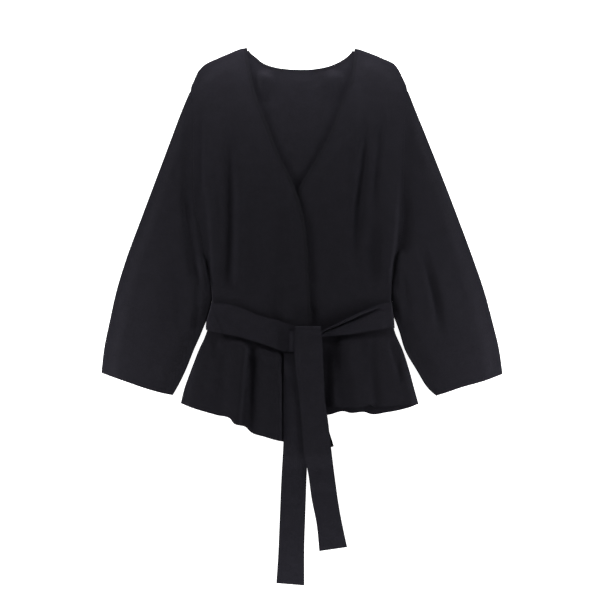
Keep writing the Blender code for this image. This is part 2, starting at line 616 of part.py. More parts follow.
def build_strap_left():
    """The strap on the wearer's left, drawn in to the knot with a groove along it."""
    table = np.array(STRAP_LEFT)
    x = np.concatenate([stations([table[0, 0], 150], [13]), np.full(len(TURNED), table[-1, 0])])
    fall = np.concatenate([np.zeros(len(x) - len(TURNED)), [drop for _, drop in TURNED[::-1]]])
    columns = [np.interp(x, table[:, 0], column) for column in table[:, 1:].T]
    upper, groove_start, groove_end, lower, rise = columns
    between = 0.5 * (groove_start + groove_end)
    face = lower - groove_end
    drop = np.stack([upper, groove_start, between, groove_end, groove_end + 0.3 * face,
                     groove_end + 0.65 * face, lower])
    level = HALF + 3 * PLY + np.array([0.6, 1.0, 0.0, 0.9, 1.0, 0.55, 0.0])[:, None] * rise
    plan = np.stack([np.broadcast_to(x, drop.shape) + 0.0, drop], axis=-1)
    for column, (inset, _) in enumerate(TURNED, start=1):
        plan[:, -column, 0] = x_of(LEFT_SIDE, drop[:, -column]) + PLY + SEAM - inset
    cloth("belt_strap_left", surface(plan, level, fall, 0.0, 0.0))


def build_knot():
    """The wrapped core of the half knot, a flat pillow of cloth under the falling end."""
    u, v = np.meshgrid(np.linspace(0, 1, 9), np.linspace(0, 1, 7))
    plan = np.stack([KNOT_X + KNOT_SIZE[0] * u, KNOT_DROP + KNOT_SIZE[1] * v], axis=-1)
    to_edge = np.minimum(np.minimum(u, 1 - u) * KNOT_SIZE[0], np.minimum(v, 1 - v) * KNOT_SIZE[1])
    thickness = WALL + (KNOT_DEPTH - WALL) * step_up(to_edge, 0, 9)
    middle = surface(plan, np.full(u.shape, KNOT_BOTTOM + KNOT_DEPTH / 2))
    cloth("belt_knot", middle, wall=thickness)


def tail_left_level(drop):
    """Middle height of the lower tail, from the skirt down to the surface past the hem."""
    on_skirt = HALF + 2 * PLY + OVERLAP_RISE + SEAM + PLY * (1 - step_up(drop, 556, 590))
    return HALF + (on_skirt - HALF) * (1 - step_up(drop, 706, 746))


def tail_right_level(drop):
    """Middle height of the upper tail, from the knot down to the surface past the other tail."""
    start = TAIL_DROPS[0]
    climb = OVER_KNOT - tail_left_level(start) - PLY
    on_knot = climb * (1 - step_up(drop, start - 20, start + 26))
    return tail_left_level(drop) + PLY * (1 - step_up(drop, 758, 784)) + on_knot


def tail_plan(left, right, drops):
    """Plan rows across a tail at the given drops, with its last row along its slanted end."""
    u = np.linspace(0, 1, 5)
    t = np.linspace(0, 1, 300)
    rows = []
    for side in (curve(left), curve(right)):
        line = side(t)
        rows.append(np.stack([np.interp(drops, line[:, 1], line[:, 0]), drops], axis=-1))
        rows[-1][-1] = line[-1]
    return rows[0][:, None] * (1 - u[:, None]) + rows[1][:, None] * u[:, None]


def build_tails():
    """The two hanging ends. The right one rolls over the knot and lies on the left one."""
    lower_end = [815, 850, 885, 915, 943]
    plan = tail_plan(TAIL_LEFT_LEFT, TAIL_LEFT_RIGHT, np.array(TAIL_DROPS + lower_end, float))
    cloth("belt_tail_left", surface(plan, tail_left_level(plan[..., 1])))

    over_knot = [494.0, 500.0, 510.0, 523.0]
    drops = np.array(over_knot + TAIL_DROPS + [815, 850, 883], float)
    plan = tail_plan(TAIL_RIGHT_LEFT, TAIL_RIGHT_RIGHT, drops)
    level = tail_right_level(plan[..., 1])
    # The roll at the knot's top edge: its end lies under the tail, and it turns up and over.
    roll = [(497.0, 13.4), (492.5, 13.9), (490.3, 16.0), (490.5, 18.8), (492.0, 20.6)]
    rolled = np.repeat(plan[:1], len(roll), axis=0)
    rolled[..., 1] = np.array(roll)[:, :1]
    rolled_level = np.repeat(np.array(roll)[:, 1:], plan.shape[1], axis=1)
    plan, level = np.concatenate([rolled, plan]), np.concatenate([rolled_level, level])
    cloth("belt_tail_right", surface(plan, level))


for old in list(bpy.data.objects):
    bpy.data.objects.remove(old)
build_back()
build_fronts()
build_sleeves()
build_belt_back()
build_strap_right()
build_strap_left()
build_knot()
build_tails()
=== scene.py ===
"""A black fine-knit wrap jacket with a tied self belt, laid flat and seen from straight above.

Plan positions are millimetres: x to the right as the camera sees it, and drop down from the
neck points towards the hem. Heights are millimetres above the surface that the jacket lies on.
The wearer's right is on the left here.
"""

import bpy
import numpy as np
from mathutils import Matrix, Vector


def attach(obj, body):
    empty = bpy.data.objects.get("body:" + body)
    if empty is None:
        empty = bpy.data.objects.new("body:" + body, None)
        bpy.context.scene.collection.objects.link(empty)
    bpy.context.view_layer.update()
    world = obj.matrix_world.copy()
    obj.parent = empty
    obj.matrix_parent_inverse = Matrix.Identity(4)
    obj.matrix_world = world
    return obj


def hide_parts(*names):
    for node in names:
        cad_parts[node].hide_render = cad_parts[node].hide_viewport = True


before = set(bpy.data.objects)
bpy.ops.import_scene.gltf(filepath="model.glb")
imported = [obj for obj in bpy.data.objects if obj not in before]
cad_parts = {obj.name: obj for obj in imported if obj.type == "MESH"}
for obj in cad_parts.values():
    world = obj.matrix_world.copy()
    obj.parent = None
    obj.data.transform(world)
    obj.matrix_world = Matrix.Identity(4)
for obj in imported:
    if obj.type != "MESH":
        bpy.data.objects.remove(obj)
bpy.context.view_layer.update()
scene = bpy.context.scene

# Camera, floor and light
# A white table seen from straight above through a long lens. Long soft boxes stand close round
# the table and rake over the cloth, which is what brightens the outer edges of a black garment.
# Sizes and places are metres in this section.
VIEW_WIDTH = 1.050
LENS = 110.0
SENSOR = 36.0
VIEW_CENTRE = (-0.0035, 0.0293)
WHITE = (1.0, 1.0, 1.0, 1.0)
AMBIENT = 0.03          # strength of the even light from all round
FLOOR_REACH = 40.0      # half the floor's side, so that a low view still ends in white
FLOOR_LOOK = {
    "Base Color": (0.93, 0.93, 0.93, 1.0),
    "Roughness": 0.9,
    "Specular IOR Level": 0.2,
    "Emission Color": WHITE,
    "Emission Strength": 1.0,
}

camera_data = bpy.data.cameras.new("camera")
camera_data.lens = LENS
camera_data.sensor_width = SENSOR
camera = bpy.data.objects.new("camera", camera_data)
camera.location = (*VIEW_CENTRE, VIEW_WIDTH * LENS / SENSOR)
scene.collection.objects.link(camera)
scene.camera = camera
scene.view_settings.view_transform = "Standard"

world = bpy.data.worlds.new("studio")
world.use_nodes = True
world.node_tree.nodes["Background"].inputs["Color"].default_value = WHITE
world.node_tree.nodes["Background"].inputs["Strength"].default_value = AMBIENT
scene.world = world

# Each row: name, place, point it faces, width, height, power in watts.
SOFT_BOXES = [
    ("light_left", (-0.54, -0.05, 0.13), (-0.25, -0.05, 0.0), 1.15, 0.10, 4.3),
    ("light_right", (0.54, -0.05, 0.13), (0.25, -0.05, 0.0), 1.15, 0.10, 4.6),
    ("light_top", (0.0, 0.60, 0.10), (0.0, 0.44, 0.0), 0.6, 0.10, 2.3),
    ("light_foot", (0.0, -0.80, 0.18), (0.0, -0.40, 0.0), 0.5, 0.12, 3.4),
]
for name, place, aim, width, height, power in SOFT_BOXES:
    lamp = bpy.data.lights.new(name, "AREA")
    lamp.shape = "RECTANGLE"
    lamp.size, lamp.size_y, lamp.energy = width, height, power
    stand = bpy.data.objects.new(name, lamp)
    stand.location = place
    direction = np.array(aim) - np.array(place)
    stand.rotation_euler = Vector(direction).to_track_quat("-Z", "Y").to_euler()
    stand.visible_camera = False
    scene.collection.objects.link(stand)

floor_corners = [(-FLOOR_REACH, -FLOOR_REACH, 0), (FLOOR_REACH, -FLOOR_REACH, 0),
                 (FLOOR_REACH, FLOOR_REACH, 0), (-FLOOR_REACH, FLOOR_REACH, 0)]
floor_mesh = bpy.data.meshes.new("floor")
floor_mesh.from_pydata(floor_corners, [], [(0, 1, 2, 3)])
floor = bpy.data.objects.new("floor", floor_mesh)
scene.collection.objects.link(floor)
floor_material = bpy.data.materials.new("floor_white")
floor_material.use_nodes = True
for socket, value in FLOOR_LOOK.items():
    floor_material.node_tree.nodes["Principled BSDF"].inputs[socket].default_value = value
floor.data.materials.append(floor_material)

# Back
# One knitted panel from the shoulders to the hem, lying on the table under everything else.
# Its inside shows in the neck opening. It is seamed to the fronts at the shoulders and sides.
MM = 0.001
WALL = 2.0              # thickness of the cloth
SEAM = 0.3              # gap between pieces at a seam, and between layers
PLY = WALL + SEAM       # rise of each further layer
HALF = WALL / 2
CENTRE_DROP = 472.93    # drop of the frame's centre
BAND_WIDTH = 6.0
BELT_START, BELT_END = 448.0, 496.0
BELT_RAMP = 24.0        # length over which cloth climbs over the belt
OVER_BELT = (BELT_START - 2, BELT_END + 4, BELT_RAMP)
LIP_END = 0.2           # middle height of the end of a turned edge
TUCK = 2.0              # how far a sleeve's lower layer reaches under the body's edge
BACK_INSET = WALL + 2 * SEAM        # inset of the back's sides where the fronts turn down
SHOULDER_INSET = BACK_INSET + 1     # and of its shoulders
BACK_LEAD = 26          # how far the inset runs on into the armhole at each end
NECK_HIDDEN = 0.03      # share of the neck's edge, at each end, that the fronts cover
GRID = 3.0              # spacing of the cloth's rows
FIRST_ROW = 5.0         # drop from a panel's top edge to its first even row
FINE = 400              # points along a border that is read finely

# Drops of the armholes' ends. A side's turned edge fades out between two distances above the
# notch at the shoulder, and comes back over one length below the underarm.
NOTCH_RIGHT, UNDERARM_RIGHT = 79, 356
NOTCH_LEFT, UNDERARM_LEFT = 78, 351
TURN_ABOVE = (20, 2)
TURN_BELOW = 24

# Outlines in plan, rows of x and drop.
RIGHT_SHOULDER = [(-182, 45), (-171, 33), (-150, 22), (-129, 13), (-108, 4.5), (-96, 1.6)]
LEFT_SHOULDER = [(92, 1.9), (102, 6), (122, 13), (143, 22), (161, 31), (171, 46)]
BACK_NECK = [(-96, 1.6), (-89.6, 11.8), (-82, 17.8), (-68, 29), (-50, 35.8), (-30, 39.2),
             (-12, 40.5), (20, 39.8), (53, 32.5), (72, 23), (84, 13), (92, 1.9)]
RIGHT_SIDE = [(-182, 45), (-195, 79), (-190, 123), (-189.5, 190), (-187, 277), (-180, 318),
              (-172, 356), (-163, 401), (-158.6, 424), (-157.2, 445), (-157.6, 468),
              (-160.8, 482), (-165.6, 496), (-169.4, 507), (-180, 530),
              (-194, 566), (-206.5, 601), (-212, 624)]
LEFT_SIDE = [(171, 46), (184, 78), (180, 123), (178, 190), (177, 268), (176, 314), (169, 351),
             (161, 389), (156.8, 422), (155.7, 452), (157.5, 480), (162.5, 500), (176, 531),
             (187.5, 566), (197, 601), (204, 626)]
BACK_HEM = [(-212, 622), (-120, 638), (0, 645), (48, 643.5), (76, 638), (83, 640.2), (114, 640),
            (120, 642.4), (150, 640), (175, 635.5), (196, 629.5), (204, 626)]

# A turned edge: inset from the outline, and the share of its way down to the layer below. Where
# the edge is seamed instead, its columns lie at the even insets and stay level.
TURNED = [(0.8, 1.0), (0.9, 0.75), (1.05, 0.48), (1.5, 0.18), (2.2, 0.05), (3.2, 0.0)]
SEAMED = [0.0, 0.6, 1.2, 1.8, 2.5, 3.2]

RIGHT_FRONT_EDGE = [(-96, 1.6), (-92, 31), (-80, 85), (-57, 144), (-42, 185), (-26, 216),
                    (-11.5, 249), (-3.5, 274), (3.5, 300), (8, 330), (12, 400), (16, 470),
                    (26, 560), (40, 645), (56, 699)]
LEFT_FRONT_EDGE = [(92, 1.9), (90, 22), (83, 65), (74, 87), (63, 113), (52, 144), (32, 183),
                   (19, 207), (-2, 240), (-14, 285), (-20, 350), (-24, 444), (-25, 540), (-26, 632)]
# Soft swells of the back where it shows in the neck: the crest's x and drop, the reach to the
# sides, upwards and downwards, and the height. They rise between two distances inside the
# fronts' edges.
NECK_SWELLS = [
    (-66, 56, 24, 17, 55, 6.6),
    (56, 55, 24, 17, 55, 5.6),
    (-8, 64, 50, 22, 70, 1.2),
]
SWELL_MARGIN = (4, 18)

# Shares of the back's top edge at which the neck starts and ends, and the columns of its parts.
NECK_SHARES = (0.24, 0.77)
NECK_COLUMNS = (26, 62, 26)


def curve(points):
    """Smooth curve through the points as a function of its share t, from 0 to 1.

    Between two points it is a cubic whose slope at each point is the mean slope around it.
    """
    points = np.asarray(points, float)
    lengths = np.linalg.norm(np.diff(points, axis=0), axis=1)
    knots = np.concatenate([[0.0], np.cumsum(lengths)]) / lengths.sum()
    slopes = np.gradient(points, knots, axis=0)

    def at(t):
        t = np.asarray(t, float)
        i = np.clip(np.searchsorted(knots, t, side="right") - 1, 0, len(points) - 2)
        span = (knots[i + 1] - knots[i])[..., None]
        s = (t - knots[i])[..., None] / span
        start = points[i] * (1 + 2 * s) + slopes[i] * span * s
        end = points[i + 1] * (3 - 2 * s) + slopes[i + 1] * span * (s - 1)
        return start * (1 - s) ** 2 + end * s ** 2

    return at


def ends(path):
    """The first and the last point of a path."""
    return path(np.array([0.0, 1.0]))


def chained(curves, breaks):
    """Curves end to end; each takes the share of t between two of the breaks."""

    def at(t):
        t = np.asarray(t, float)
        out = np.zeros(t.shape + (2,))
        for path, start, end in zip(curves, breaks[:-1], breaks[1:]):
            inside = (t >= start) & (t <= end)
            out[inside] = path((t[inside] - start) / (end - start))
        return out

    return at


def moved_aside(path, distance):
    """The path moved sideways in plan, to the right of its direction where distance is over 0."""
    step = 0.004

    def at(t):
        t = np.asarray(t, float)
        along = path(np.minimum(t + step, 1)) - path(np.maximum(t - step, 0))
        along /= np.linalg.norm(along, axis=-1, keepdims=True)
        return path(t) + distance * np.stack([-along[..., 1], along[..., 0]], axis=-1)

    return at


def shifted(path, inset):
    """The path with its x moved by inset(drop)."""

    def at(t):
        out = path(t)
        out[..., 0] += inset(out[..., 1])
        return out

    return at


def patch(left, right, top, bottom, u, v):
    """Coons patch: plan points that blend the four border curves, u across and v down."""
    top_left, top_right = ends(top)
    bottom_left, bottom_right = ends(bottom)
    u, v = u[..., None], v[..., None]
    sideways = (1 - u) * left(v[..., 0]) + u * right(v[..., 0])
    down = (1 - v) * top(u[..., 0]) + v * bottom(u[..., 0])
    upper = (1 - u) * top_left + u * top_right
    lower = (1 - u) * bottom_left + u * bottom_right
    return sideways + down - (1 - v) * upper - v * lower


def step_up(value, start, end):
    """0 before start, 1 after end, and a smooth rise between them."""
    t = np.clip((value - start) / (end - start), 0, 1)
    return t * t * (3 - 2 * t)


def window(value, start, end, ramp):
    """1 from start to end, falling smoothly to 0 over the ramp on each side."""
    return step_up(value, start - ramp, start) * (1 - step_up(value, end, end + ramp))


def x_of(table, drop):
    """The x of an outline at a drop."""
    rows = np.asarray(table, float)
    return np.interp(drop, rows[:, 1], rows[:, 0])


def unit(vectors):
    """The vectors at length 1."""
    return vectors / np.linalg.norm(vectors, axis=-1, keepdims=True)


def heading(grid, axis, ring):
    """Mean direction of the steps before and after each point along one axis of a grid."""
    if ring:
        ahead = unit(np.roll(grid, -1, axis) - grid)
        return ahead + np.roll(ahead, 1, axis)
    steps = unit(np.diff(grid, axis=axis))
    first, last = steps.take([0], axis), steps.take([-1], axis)
    return np.concatenate([first, steps], axis) + np.concatenate([steps, last], axis)


def plan_grid(sides, u, turned_left=None, turned_right=None, turned_top=False):
    """Plan points of a panel and the fall of its turned edges.

    Columns run down the patch at the shares u, and near a turned edge at real distances from
    the outline, between the turned and the seamed profile. Rows lie at even drops.
    """
    left, right, top, bottom = sides
    v = np.linspace(0, 1, FINE)
    start, end = left(v), right(v)
    width = np.linalg.norm(end - start, axis=1)
    columns = [np.full(len(v), value) for value in u]
    falls = [np.zeros(len(v)) for value in u]
    for turned, edge, on_right in ((turned_left, start, False), (turned_right, end, True)):
        if turned is None:
            continue
        share = turned(edge[:, 1])
        near = [(share * inset + (1 - share) * level_inset) / width
                for (inset, _), level_inset in zip(TURNED, SEAMED)]
        down = [share * fall for _, fall in TURNED]
        if on_right:
            columns = columns + [1 - inset for inset in near[::-1]]
            falls = falls + down[::-1]
        else:
            columns, falls = near + columns, down + falls
    u_fine = np.stack(columns, axis=1)
    v_fine = np.repeat(v[:, None], u_fine.shape[1], axis=1)
    fine = patch(left, right, top, bottom, u_fine, v_fine)
    insets = np.array([inset for inset, _ in TURNED] if turned_top else [0.0])
    rows = int(np.ptp(fine[..., 1]) / GRID)
    plan, fall = [], []
    for j, column_fall in enumerate(falls):
        first, last = fine[0, j, 1], fine[-1, j, 1]
        drops = np.concatenate([first + insets, np.linspace(first + FIRST_ROW, last, rows)])
        plan.append(np.stack([np.interp(drops, fine[:, j, 1], fine[:, j, 0]), drops], axis=-1))
        down = np.interp(drops, fine[:, j, 1], column_fall)
        if turned_top:
            down[:len(TURNED)] = np.maximum(down[:len(TURNED)], [drop for _, drop in TURNED])
        fall.append(down)
    return np.stack(plan, axis=1), np.stack(fall, axis=1)


def surface(plan, height, fall=0.0, lean=0.0, end=LIP_END):
    """Middle surface of a panel over its plan points, with its turned edges let down to end."""
    z = height - fall * (height - end)
    return np.stack([plan[..., 0] + lean, CENTRE_DROP - plan[..., 1], z], axis=-1)


class Socket:
    """An output socket in a material. Arithmetic on it adds Math nodes."""

    def __init__(self, tree, output):
        self.tree, self.output = tree, output

    def node(self, kind, settings, inputs, output=0):
        """A new node with its settings, then its inputs given or linked; returns one output."""
        made = self.tree.nodes.new(kind)
        for name, value in settings.items():
            setattr(made, name, value)
        for name, value in inputs.items():
            if isinstance(value, Socket):
                self.tree.links.new(value.output, made.inputs[name])
            else:
                made.inputs[name].default_value = value
        return Socket(self.tree, made.outputs[output])

    def maths(self, operation, *values):
        """A Math node on the values, which are sockets or numbers."""
        return self.node("ShaderNodeMath", {"operation": operation}, dict(enumerate(values)))

    def __add__(self, other):
        return self.maths("ADD", self, other)

    def __sub__(self, other):
        return self.maths("SUBTRACT", self, other)

    def __rsub__(self, other):
        return self.maths("SUBTRACT", other, self)

    def __mul__(self, other):
        return self.maths("MULTIPLY", self, other)

    __radd__, __rmul__ = __add__, __mul__

    def fraction(self):
        """What is left of the value above a whole number."""
        return self.maths("FRACT", self)

    def size(self):
        """The value without its sign."""
        return self.maths("ABSOLUTE", self)

    def noise(self, scale, detail, roughness=0.5):
        """Noise between 0 and 1 at the place that this socket holds."""
        return self.node("ShaderNodeTexNoise", {}, {
            "Vector": self, "Scale": scale, "Detail": detail, "Roughness": roughness})


KNIT_LOOK = {
    "Roughness": 0.8,
    "Specular IOR Level": 0.10,
    "Sheen Weight": 0.03,
    "Sheen Roughness": 0.45,
    "Metallic": 0.0,
}
STITCH_RELIEF = 0.00028     # height of a stitch, in metres
LIE_RELIEF = 0.0016         # how unevenly the cloth lies, in metres


def knit_material(name, dark, light, wale=1.7, course=1.25):
    """Fine stocking stitch in black yarn, on a UV map in metres whose second axis is the wales'.

    Each wale is two legs of yarn that lean together into a V, one V to a course. The legs'
    height makes the bump and also paints the colour lighter on the legs and darker between
    them, a painted highlight and painted shade; fuzz breaks both up, and slow noise makes the
    cloth uneven in tone and lie unevenly.
    """
    material = bpy.data.materials.new(name)
    material.use_nodes = True
    tree = material.node_tree
    shader = tree.nodes["Principled BSDF"]
    for socket, value in KNIT_LOOK.items():
        shader.inputs[socket].default_value = value
    uv = Socket(tree, tree.nodes.new("ShaderNodeUVMap").outputs[0])
    across = uv.node("ShaderNodeSeparateXYZ", {}, {0: uv})
    along = Socket(tree, across.output.node.outputs[1])
    side = ((across * (1 / (wale * MM))).fraction() * 2.0 - 1.0).size()
    leg = 1.0 - (side * 2.0 - 1.0) * (side * 2.0 - 1.0)
    turn = (along * (1 / (course * MM)) + side * 0.55).fraction() * 2.0 - 1.0
    stitch = leg * (1.0 - turn * turn * 0.7)
    fuzz = uv.noise(1400.0, 3.0)
    slow = uv.noise(42.0, 3.0, 0.55)
    mottle = uv.noise(260.0, 3.0, 0.6)
    # The stitch term paints the colour lighter on the legs and darker between them: painted
    # highlight and painted shade. Fuzz, slow and mottle are random tone.
    tone = stitch * 0.30 + fuzz * 0.35 + slow * 0.30 + mottle * 0.45 - 0.2
    colour = uv.node("ShaderNodeMix", {"data_type": "RGBA", "clamp_factor": True},
                     {0: tone, 6: (*dark, 1.0), 7: (*light, 1.0)}, output=2)
    lie = uv.node("ShaderNodeBump", {}, {"Height": slow, "Distance": LIE_RELIEF})
    surface_bump = uv.node("ShaderNodeBump", {}, {
        "Height": stitch + fuzz * 0.5, "Distance": STITCH_RELIEF, "Normal": lie})
    tree.links.new(colour.output, shader.inputs["Base Color"])
    tree.links.new(surface_bump.output, shader.inputs["Normal"])
    return material


body_knit = knit_material("body_knit", (0.0052, 0.0048, 0.0074), (0.0138, 0.0128, 0.0190))


def cloth(name, node, middle, knit, area, wall=WALL, ring=False, grain=0.0):
    """One closed wall of cloth: the middle surface moved out by half the wall on each side.

    With ring, the last column joins the first, as round a sleeve. The UV map is the plan in
    metres, turned by the grain's angle in degrees. The piece takes the place of its CAD node,
    which is hidden.
    """
    normal = unit(np.cross(heading(middle, 0, False), heading(middle, 1, ring)))
    rows, columns = middle.shape[:2]
    out = normal * np.broadcast_to(wall, (rows, columns))[..., None] / 2
    points = np.concatenate([(middle + out).reshape(-1, 3), (middle - out).reshape(-1, 3)])
    points[:, 2] = np.maximum(points[:, 2], 0.0)
    index = np.arange(rows * columns).reshape(rows, columns)
    if ring:
        index = np.concatenate([index, index[:, :1]], axis=1)
    below = index + rows * columns

    def quads(a, b, c, d):
        return np.stack([a, b, c, d], axis=-1).reshape(-1, 4)

    faces = [
        quads(index[:-1, :-1], index[1:, :-1], index[1:, 1:], index[:-1, 1:]),
        quads(below[:-1, :-1], below[:-1, 1:], below[1:, 1:], below[1:, :-1]),
        quads(index[0, :-1], index[0, 1:], below[0, 1:], below[0, :-1]),
        quads(index[-1, 1:], index[-1, :-1], below[-1, :-1], below[-1, 1:]),
    ]
    if not ring:
        faces.append(quads(index[1:, 0], index[:-1, 0], below[:-1, 0], below[1:, 0]))
        faces.append(quads(index[:-1, -1], index[1:, -1], below[1:, -1], below[:-1, -1]))
    faces = np.concatenate(faces)
    mesh = bpy.data.meshes.new(name)
    mesh.from_pydata((points * MM).tolist(), [], faces.tolist())
    turn = np.radians(grain)
    turned = np.stack([points[:, 0] * np.cos(turn) + points[:, 1] * np.sin(turn),
                       points[:, 1] * np.cos(turn) - points[:, 0] * np.sin(turn)], axis=-1)
    mesh.uv_layers.new(name="UVMap").data.foreach_set("uv", (turned[faces.ravel()] * MM).ravel())
    mesh.shade_smooth()
    mesh.set_sharp_from_angle(angle=np.radians(60))
    piece = bpy.data.objects.new(name, mesh)
    scene.collection.objects.link(piece)
    piece.data.materials.append(knit)
    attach(piece, "root")
    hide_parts(node)
    return piece


def plan_area(plan):
    """Area of a plan grid in square metres, by the cross products of its cells' diagonals."""
    one = plan[1:, 1:] - plan[:-1, :-1]
    other = plan[1:, :-1] - plan[:-1, 1:]
    crossed = one[..., 0] * other[..., 1] - one[..., 1] * other[..., 0]
    return float(np.abs(crossed).sum()) / 2 * MM * MM


def side_turns(underarm, lead=0, notch=NOTCH_RIGHT):
    """Share by which a side edge is turned down: none along the armhole, all beyond its ends."""
    fade, gone = TURN_ABOVE

    def share(drop):
        above = 1 - step_up(drop, notch - fade + lead, notch - gone + lead)
        below = step_up(drop, underarm - lead, underarm + TURN_BELOW - lead)
        return np.where(drop < 0.5 * (notch + underarm), above, below)

    return share


def back_height(x, drop):
    """Middle height of the back, which climbs over the belt behind it and swells at the neck.

    A swell is a squared cosine of the distance from its crest, as a share of its reach.
    """
    height = HALF + PLY * window(drop, *OVER_BELT)
    inside = np.minimum(x - x_of(RIGHT_FRONT_EDGE, drop), x_of(LEFT_FRONT_EDGE, drop) - x)
    for x0, d0, reach_x, reach_up, reach_down, rise in NECK_SWELLS:
        reach_drop = np.where(drop < d0, reach_up, reach_down)
        near = np.clip(np.hypot((x - x0) / reach_x, (drop - d0) / reach_drop), 0, 1)
        height = height + rise * np.cos(np.pi / 2 * near) ** 2 * step_up(inside, *SWELL_MARGIN)
    return height


turns_right = side_turns(UNDERARM_RIGHT, BACK_LEAD)
turns_left = side_turns(UNDERARM_LEFT, BACK_LEAD)
left = shifted(curve(RIGHT_SIDE), lambda drop: TUCK + (BACK_INSET - TUCK) * turns_right(drop))
right = shifted(curve(LEFT_SIDE), lambda drop: (TUCK - BACK_INSET) * turns_left(drop) - TUCK)
whole_neck = moved_aside(curve(BACK_NECK), BAND_WIDTH + SEAM)


def neck(t):
    """The back's neck edge inside its band, without the ends that the fronts cover."""
    return whole_neck(NECK_HIDDEN + (1 - 2 * NECK_HIDDEN) * t)


between = np.linspace(0, 1, 7)[1:-1]
shoulder_up = moved_aside(curve(RIGHT_SHOULDER), SHOULDER_INSET)(between)
shoulder_down = moved_aside(curve(LEFT_SHOULDER), SHOULDER_INSET)(between)
neck_start, neck_end = ends(neck)
top = chained([curve([ends(left)[0], *shoulder_up, neck_start]), neck,
               curve([neck_end, *shoulder_down, ends(right)[0]])], [0, *NECK_SHARES, 1])
u = np.concatenate([np.linspace(0, NECK_SHARES[0], NECK_COLUMNS[0], endpoint=False),
                    np.linspace(*NECK_SHARES, NECK_COLUMNS[1], endpoint=False),
                    np.linspace(NECK_SHARES[1], 1, NECK_COLUMNS[2] + 1)])
back_plan, _ = plan_grid((left, right, top, curve(BACK_HEM)), u)
cloth("back_cloth", "back", surface(back_plan, back_height(back_plan[..., 0], back_plan[..., 1])),
      body_knit, plan_area(back_plan))

# Neckband at the back
# A narrow strip of the same knit, doubled and sewn round the back of the neck. Its colour is
# painted a little darker than the body's, as painted shade between the ribs of a close rib.
BAND_GAP = 0.06         # gap between a band and its panel
# A band's section: the share of its width, and how far it stands above its panel.
BAND_SECTION = [(0.0, 0.0), (0.1, 0.08), (0.25, 0.14), (0.5, 0.18), (0.75, 0.14), (0.9, 0.04),
                (1.0, -0.12)]
# The band's yarn colours are darker than the body's, though it is the same yarn: painted shade.
band_knit = knit_material("band_knit", (0.0042, 0.0039, 0.0060), (0.0108, 0.0101, 0.0150))


def build_band(name, node, border, side, height, lean):
    """A strip of self band along a panel's border, made from the border's own points.

    The points are moved out across the border, to the side that is given, by the seam's gap
    and then by the band's width. The strip rolls down a little at its edges and leans with its
    panel, but for the one that lies on the table, which has no lean.
    """
    along = np.gradient(border, axis=0)
    outward = side * unit(np.stack([-along[:, 1], along[:, 0]], axis=-1))
    lines = [border + outward * (BAND_GAP + BAND_WIDTH * share) for share, _ in BAND_SECTION]
    rise = np.array([rise for _, rise in BAND_SECTION])
    if side > 0:
        lines, rise = lines[::-1], rise[::-1]
    plan = np.stack(lines, axis=1)
    x, drop = plan[..., 0], plan[..., 1]
    if lean is None:
        middle = surface(plan, height(x, drop) + np.maximum(rise, 0.0))
    else:
        middle = surface(plan, height(x, drop) + rise, lean=lean(x, drop))
    cloth(name, node, middle, band_knit, plan_area(plan))


neck_columns = slice(NECK_COLUMNS[0], NECK_COLUMNS[0] + NECK_COLUMNS[1] + 1)
build_band("neckband_back_cloth", "neckband_back", back_plan[0, neck_columns], -1, back_height,
           None)

# Fronts
# Two knitted panels that wrap over each other, the wearer's right one on top. The fold across
# each shoulder and down each side turns down onto the back. The belt draws the waist in, so
# soft folds run into it from above and flutes open out below it.
RIGHT_HEM = [(-212, 624), (-190, 632.5), (-150, 644.5), (-126.5, 651.5), (-123, 657.5),
             (-96, 667.5), (-92.5, 672), (-64, 683), (-32, 691.3), (10, 697), (56, 699)]
LEFT_HEM = [(-26, 632), (20, 632), (48, 630), (80, 631), (106, 630), (119, 626), (127, 629),
            (160, 627), (204, 625)]
BELT_TOP = [(-170, 448), (-121, 452), (-101, 459), (-77, 470), (-42, 479), (-24, 489), (16, 490),
            (33, 498), (84, 473), (131, 452), (145, 448), (170, 448)]
BELT_BOTTOM = [(-170, 496), (-102, 510), (-32, 533), (20, 535), (34, 510), (72, 505), (94, 502),
               (114, 499), (149, 493), (170, 491)]
OVERLAP_RISE = 2.9      # rise of the upper front where it lies on the lower one
OVERLAP_RAMP = (28, 4)  # distances before the lower front's edge between which it rises
CROWN = 4.2             # loft of the cloth between its edges
CROWN_REACH = 36.0      # distance from an edge to full loft
FOLD_MARGIN = 10        # distance from a side over which the folds come in

# The neck lines that the loft is measured from run on straight where the fronts cross: the x and
# drop where each starts to, and its slope.
RIGHT_CROSSING = (-11.5, 249, 0.45)
LEFT_CROSSING = (-2, 240, -0.6)

# The belt presses the fronts flat: the margin outside its edges, the length above it over which
# the folds die away, and the distances below it between which they open out again. The hanging
# ends press them too: each pair is the stretch over which that comes in or dies away.
PRESS_MARGIN = 5
PRESS_ABOVE = 55
PRESS_BELOW = (-6, 12)
TAILS_LEFT, TAILS_RIGHT, TAILS_TOP = (-40, -33), (42, 60), (500, 530)

# The fronts climb over the belt behind them: how far past its own edges, how far past the lower
# edge of the belt in front, and how much longer the climb is than the back's.
CLIMB_PAST, CLIMB_PAST_STRAP, CLIMB_LONGER = 12, 8, 2

# A turned side's end is lifted clear of the sleeve and belt below it: start, end and ramp.
LIP_LIFT = (378, BELT_END + 4, 22)

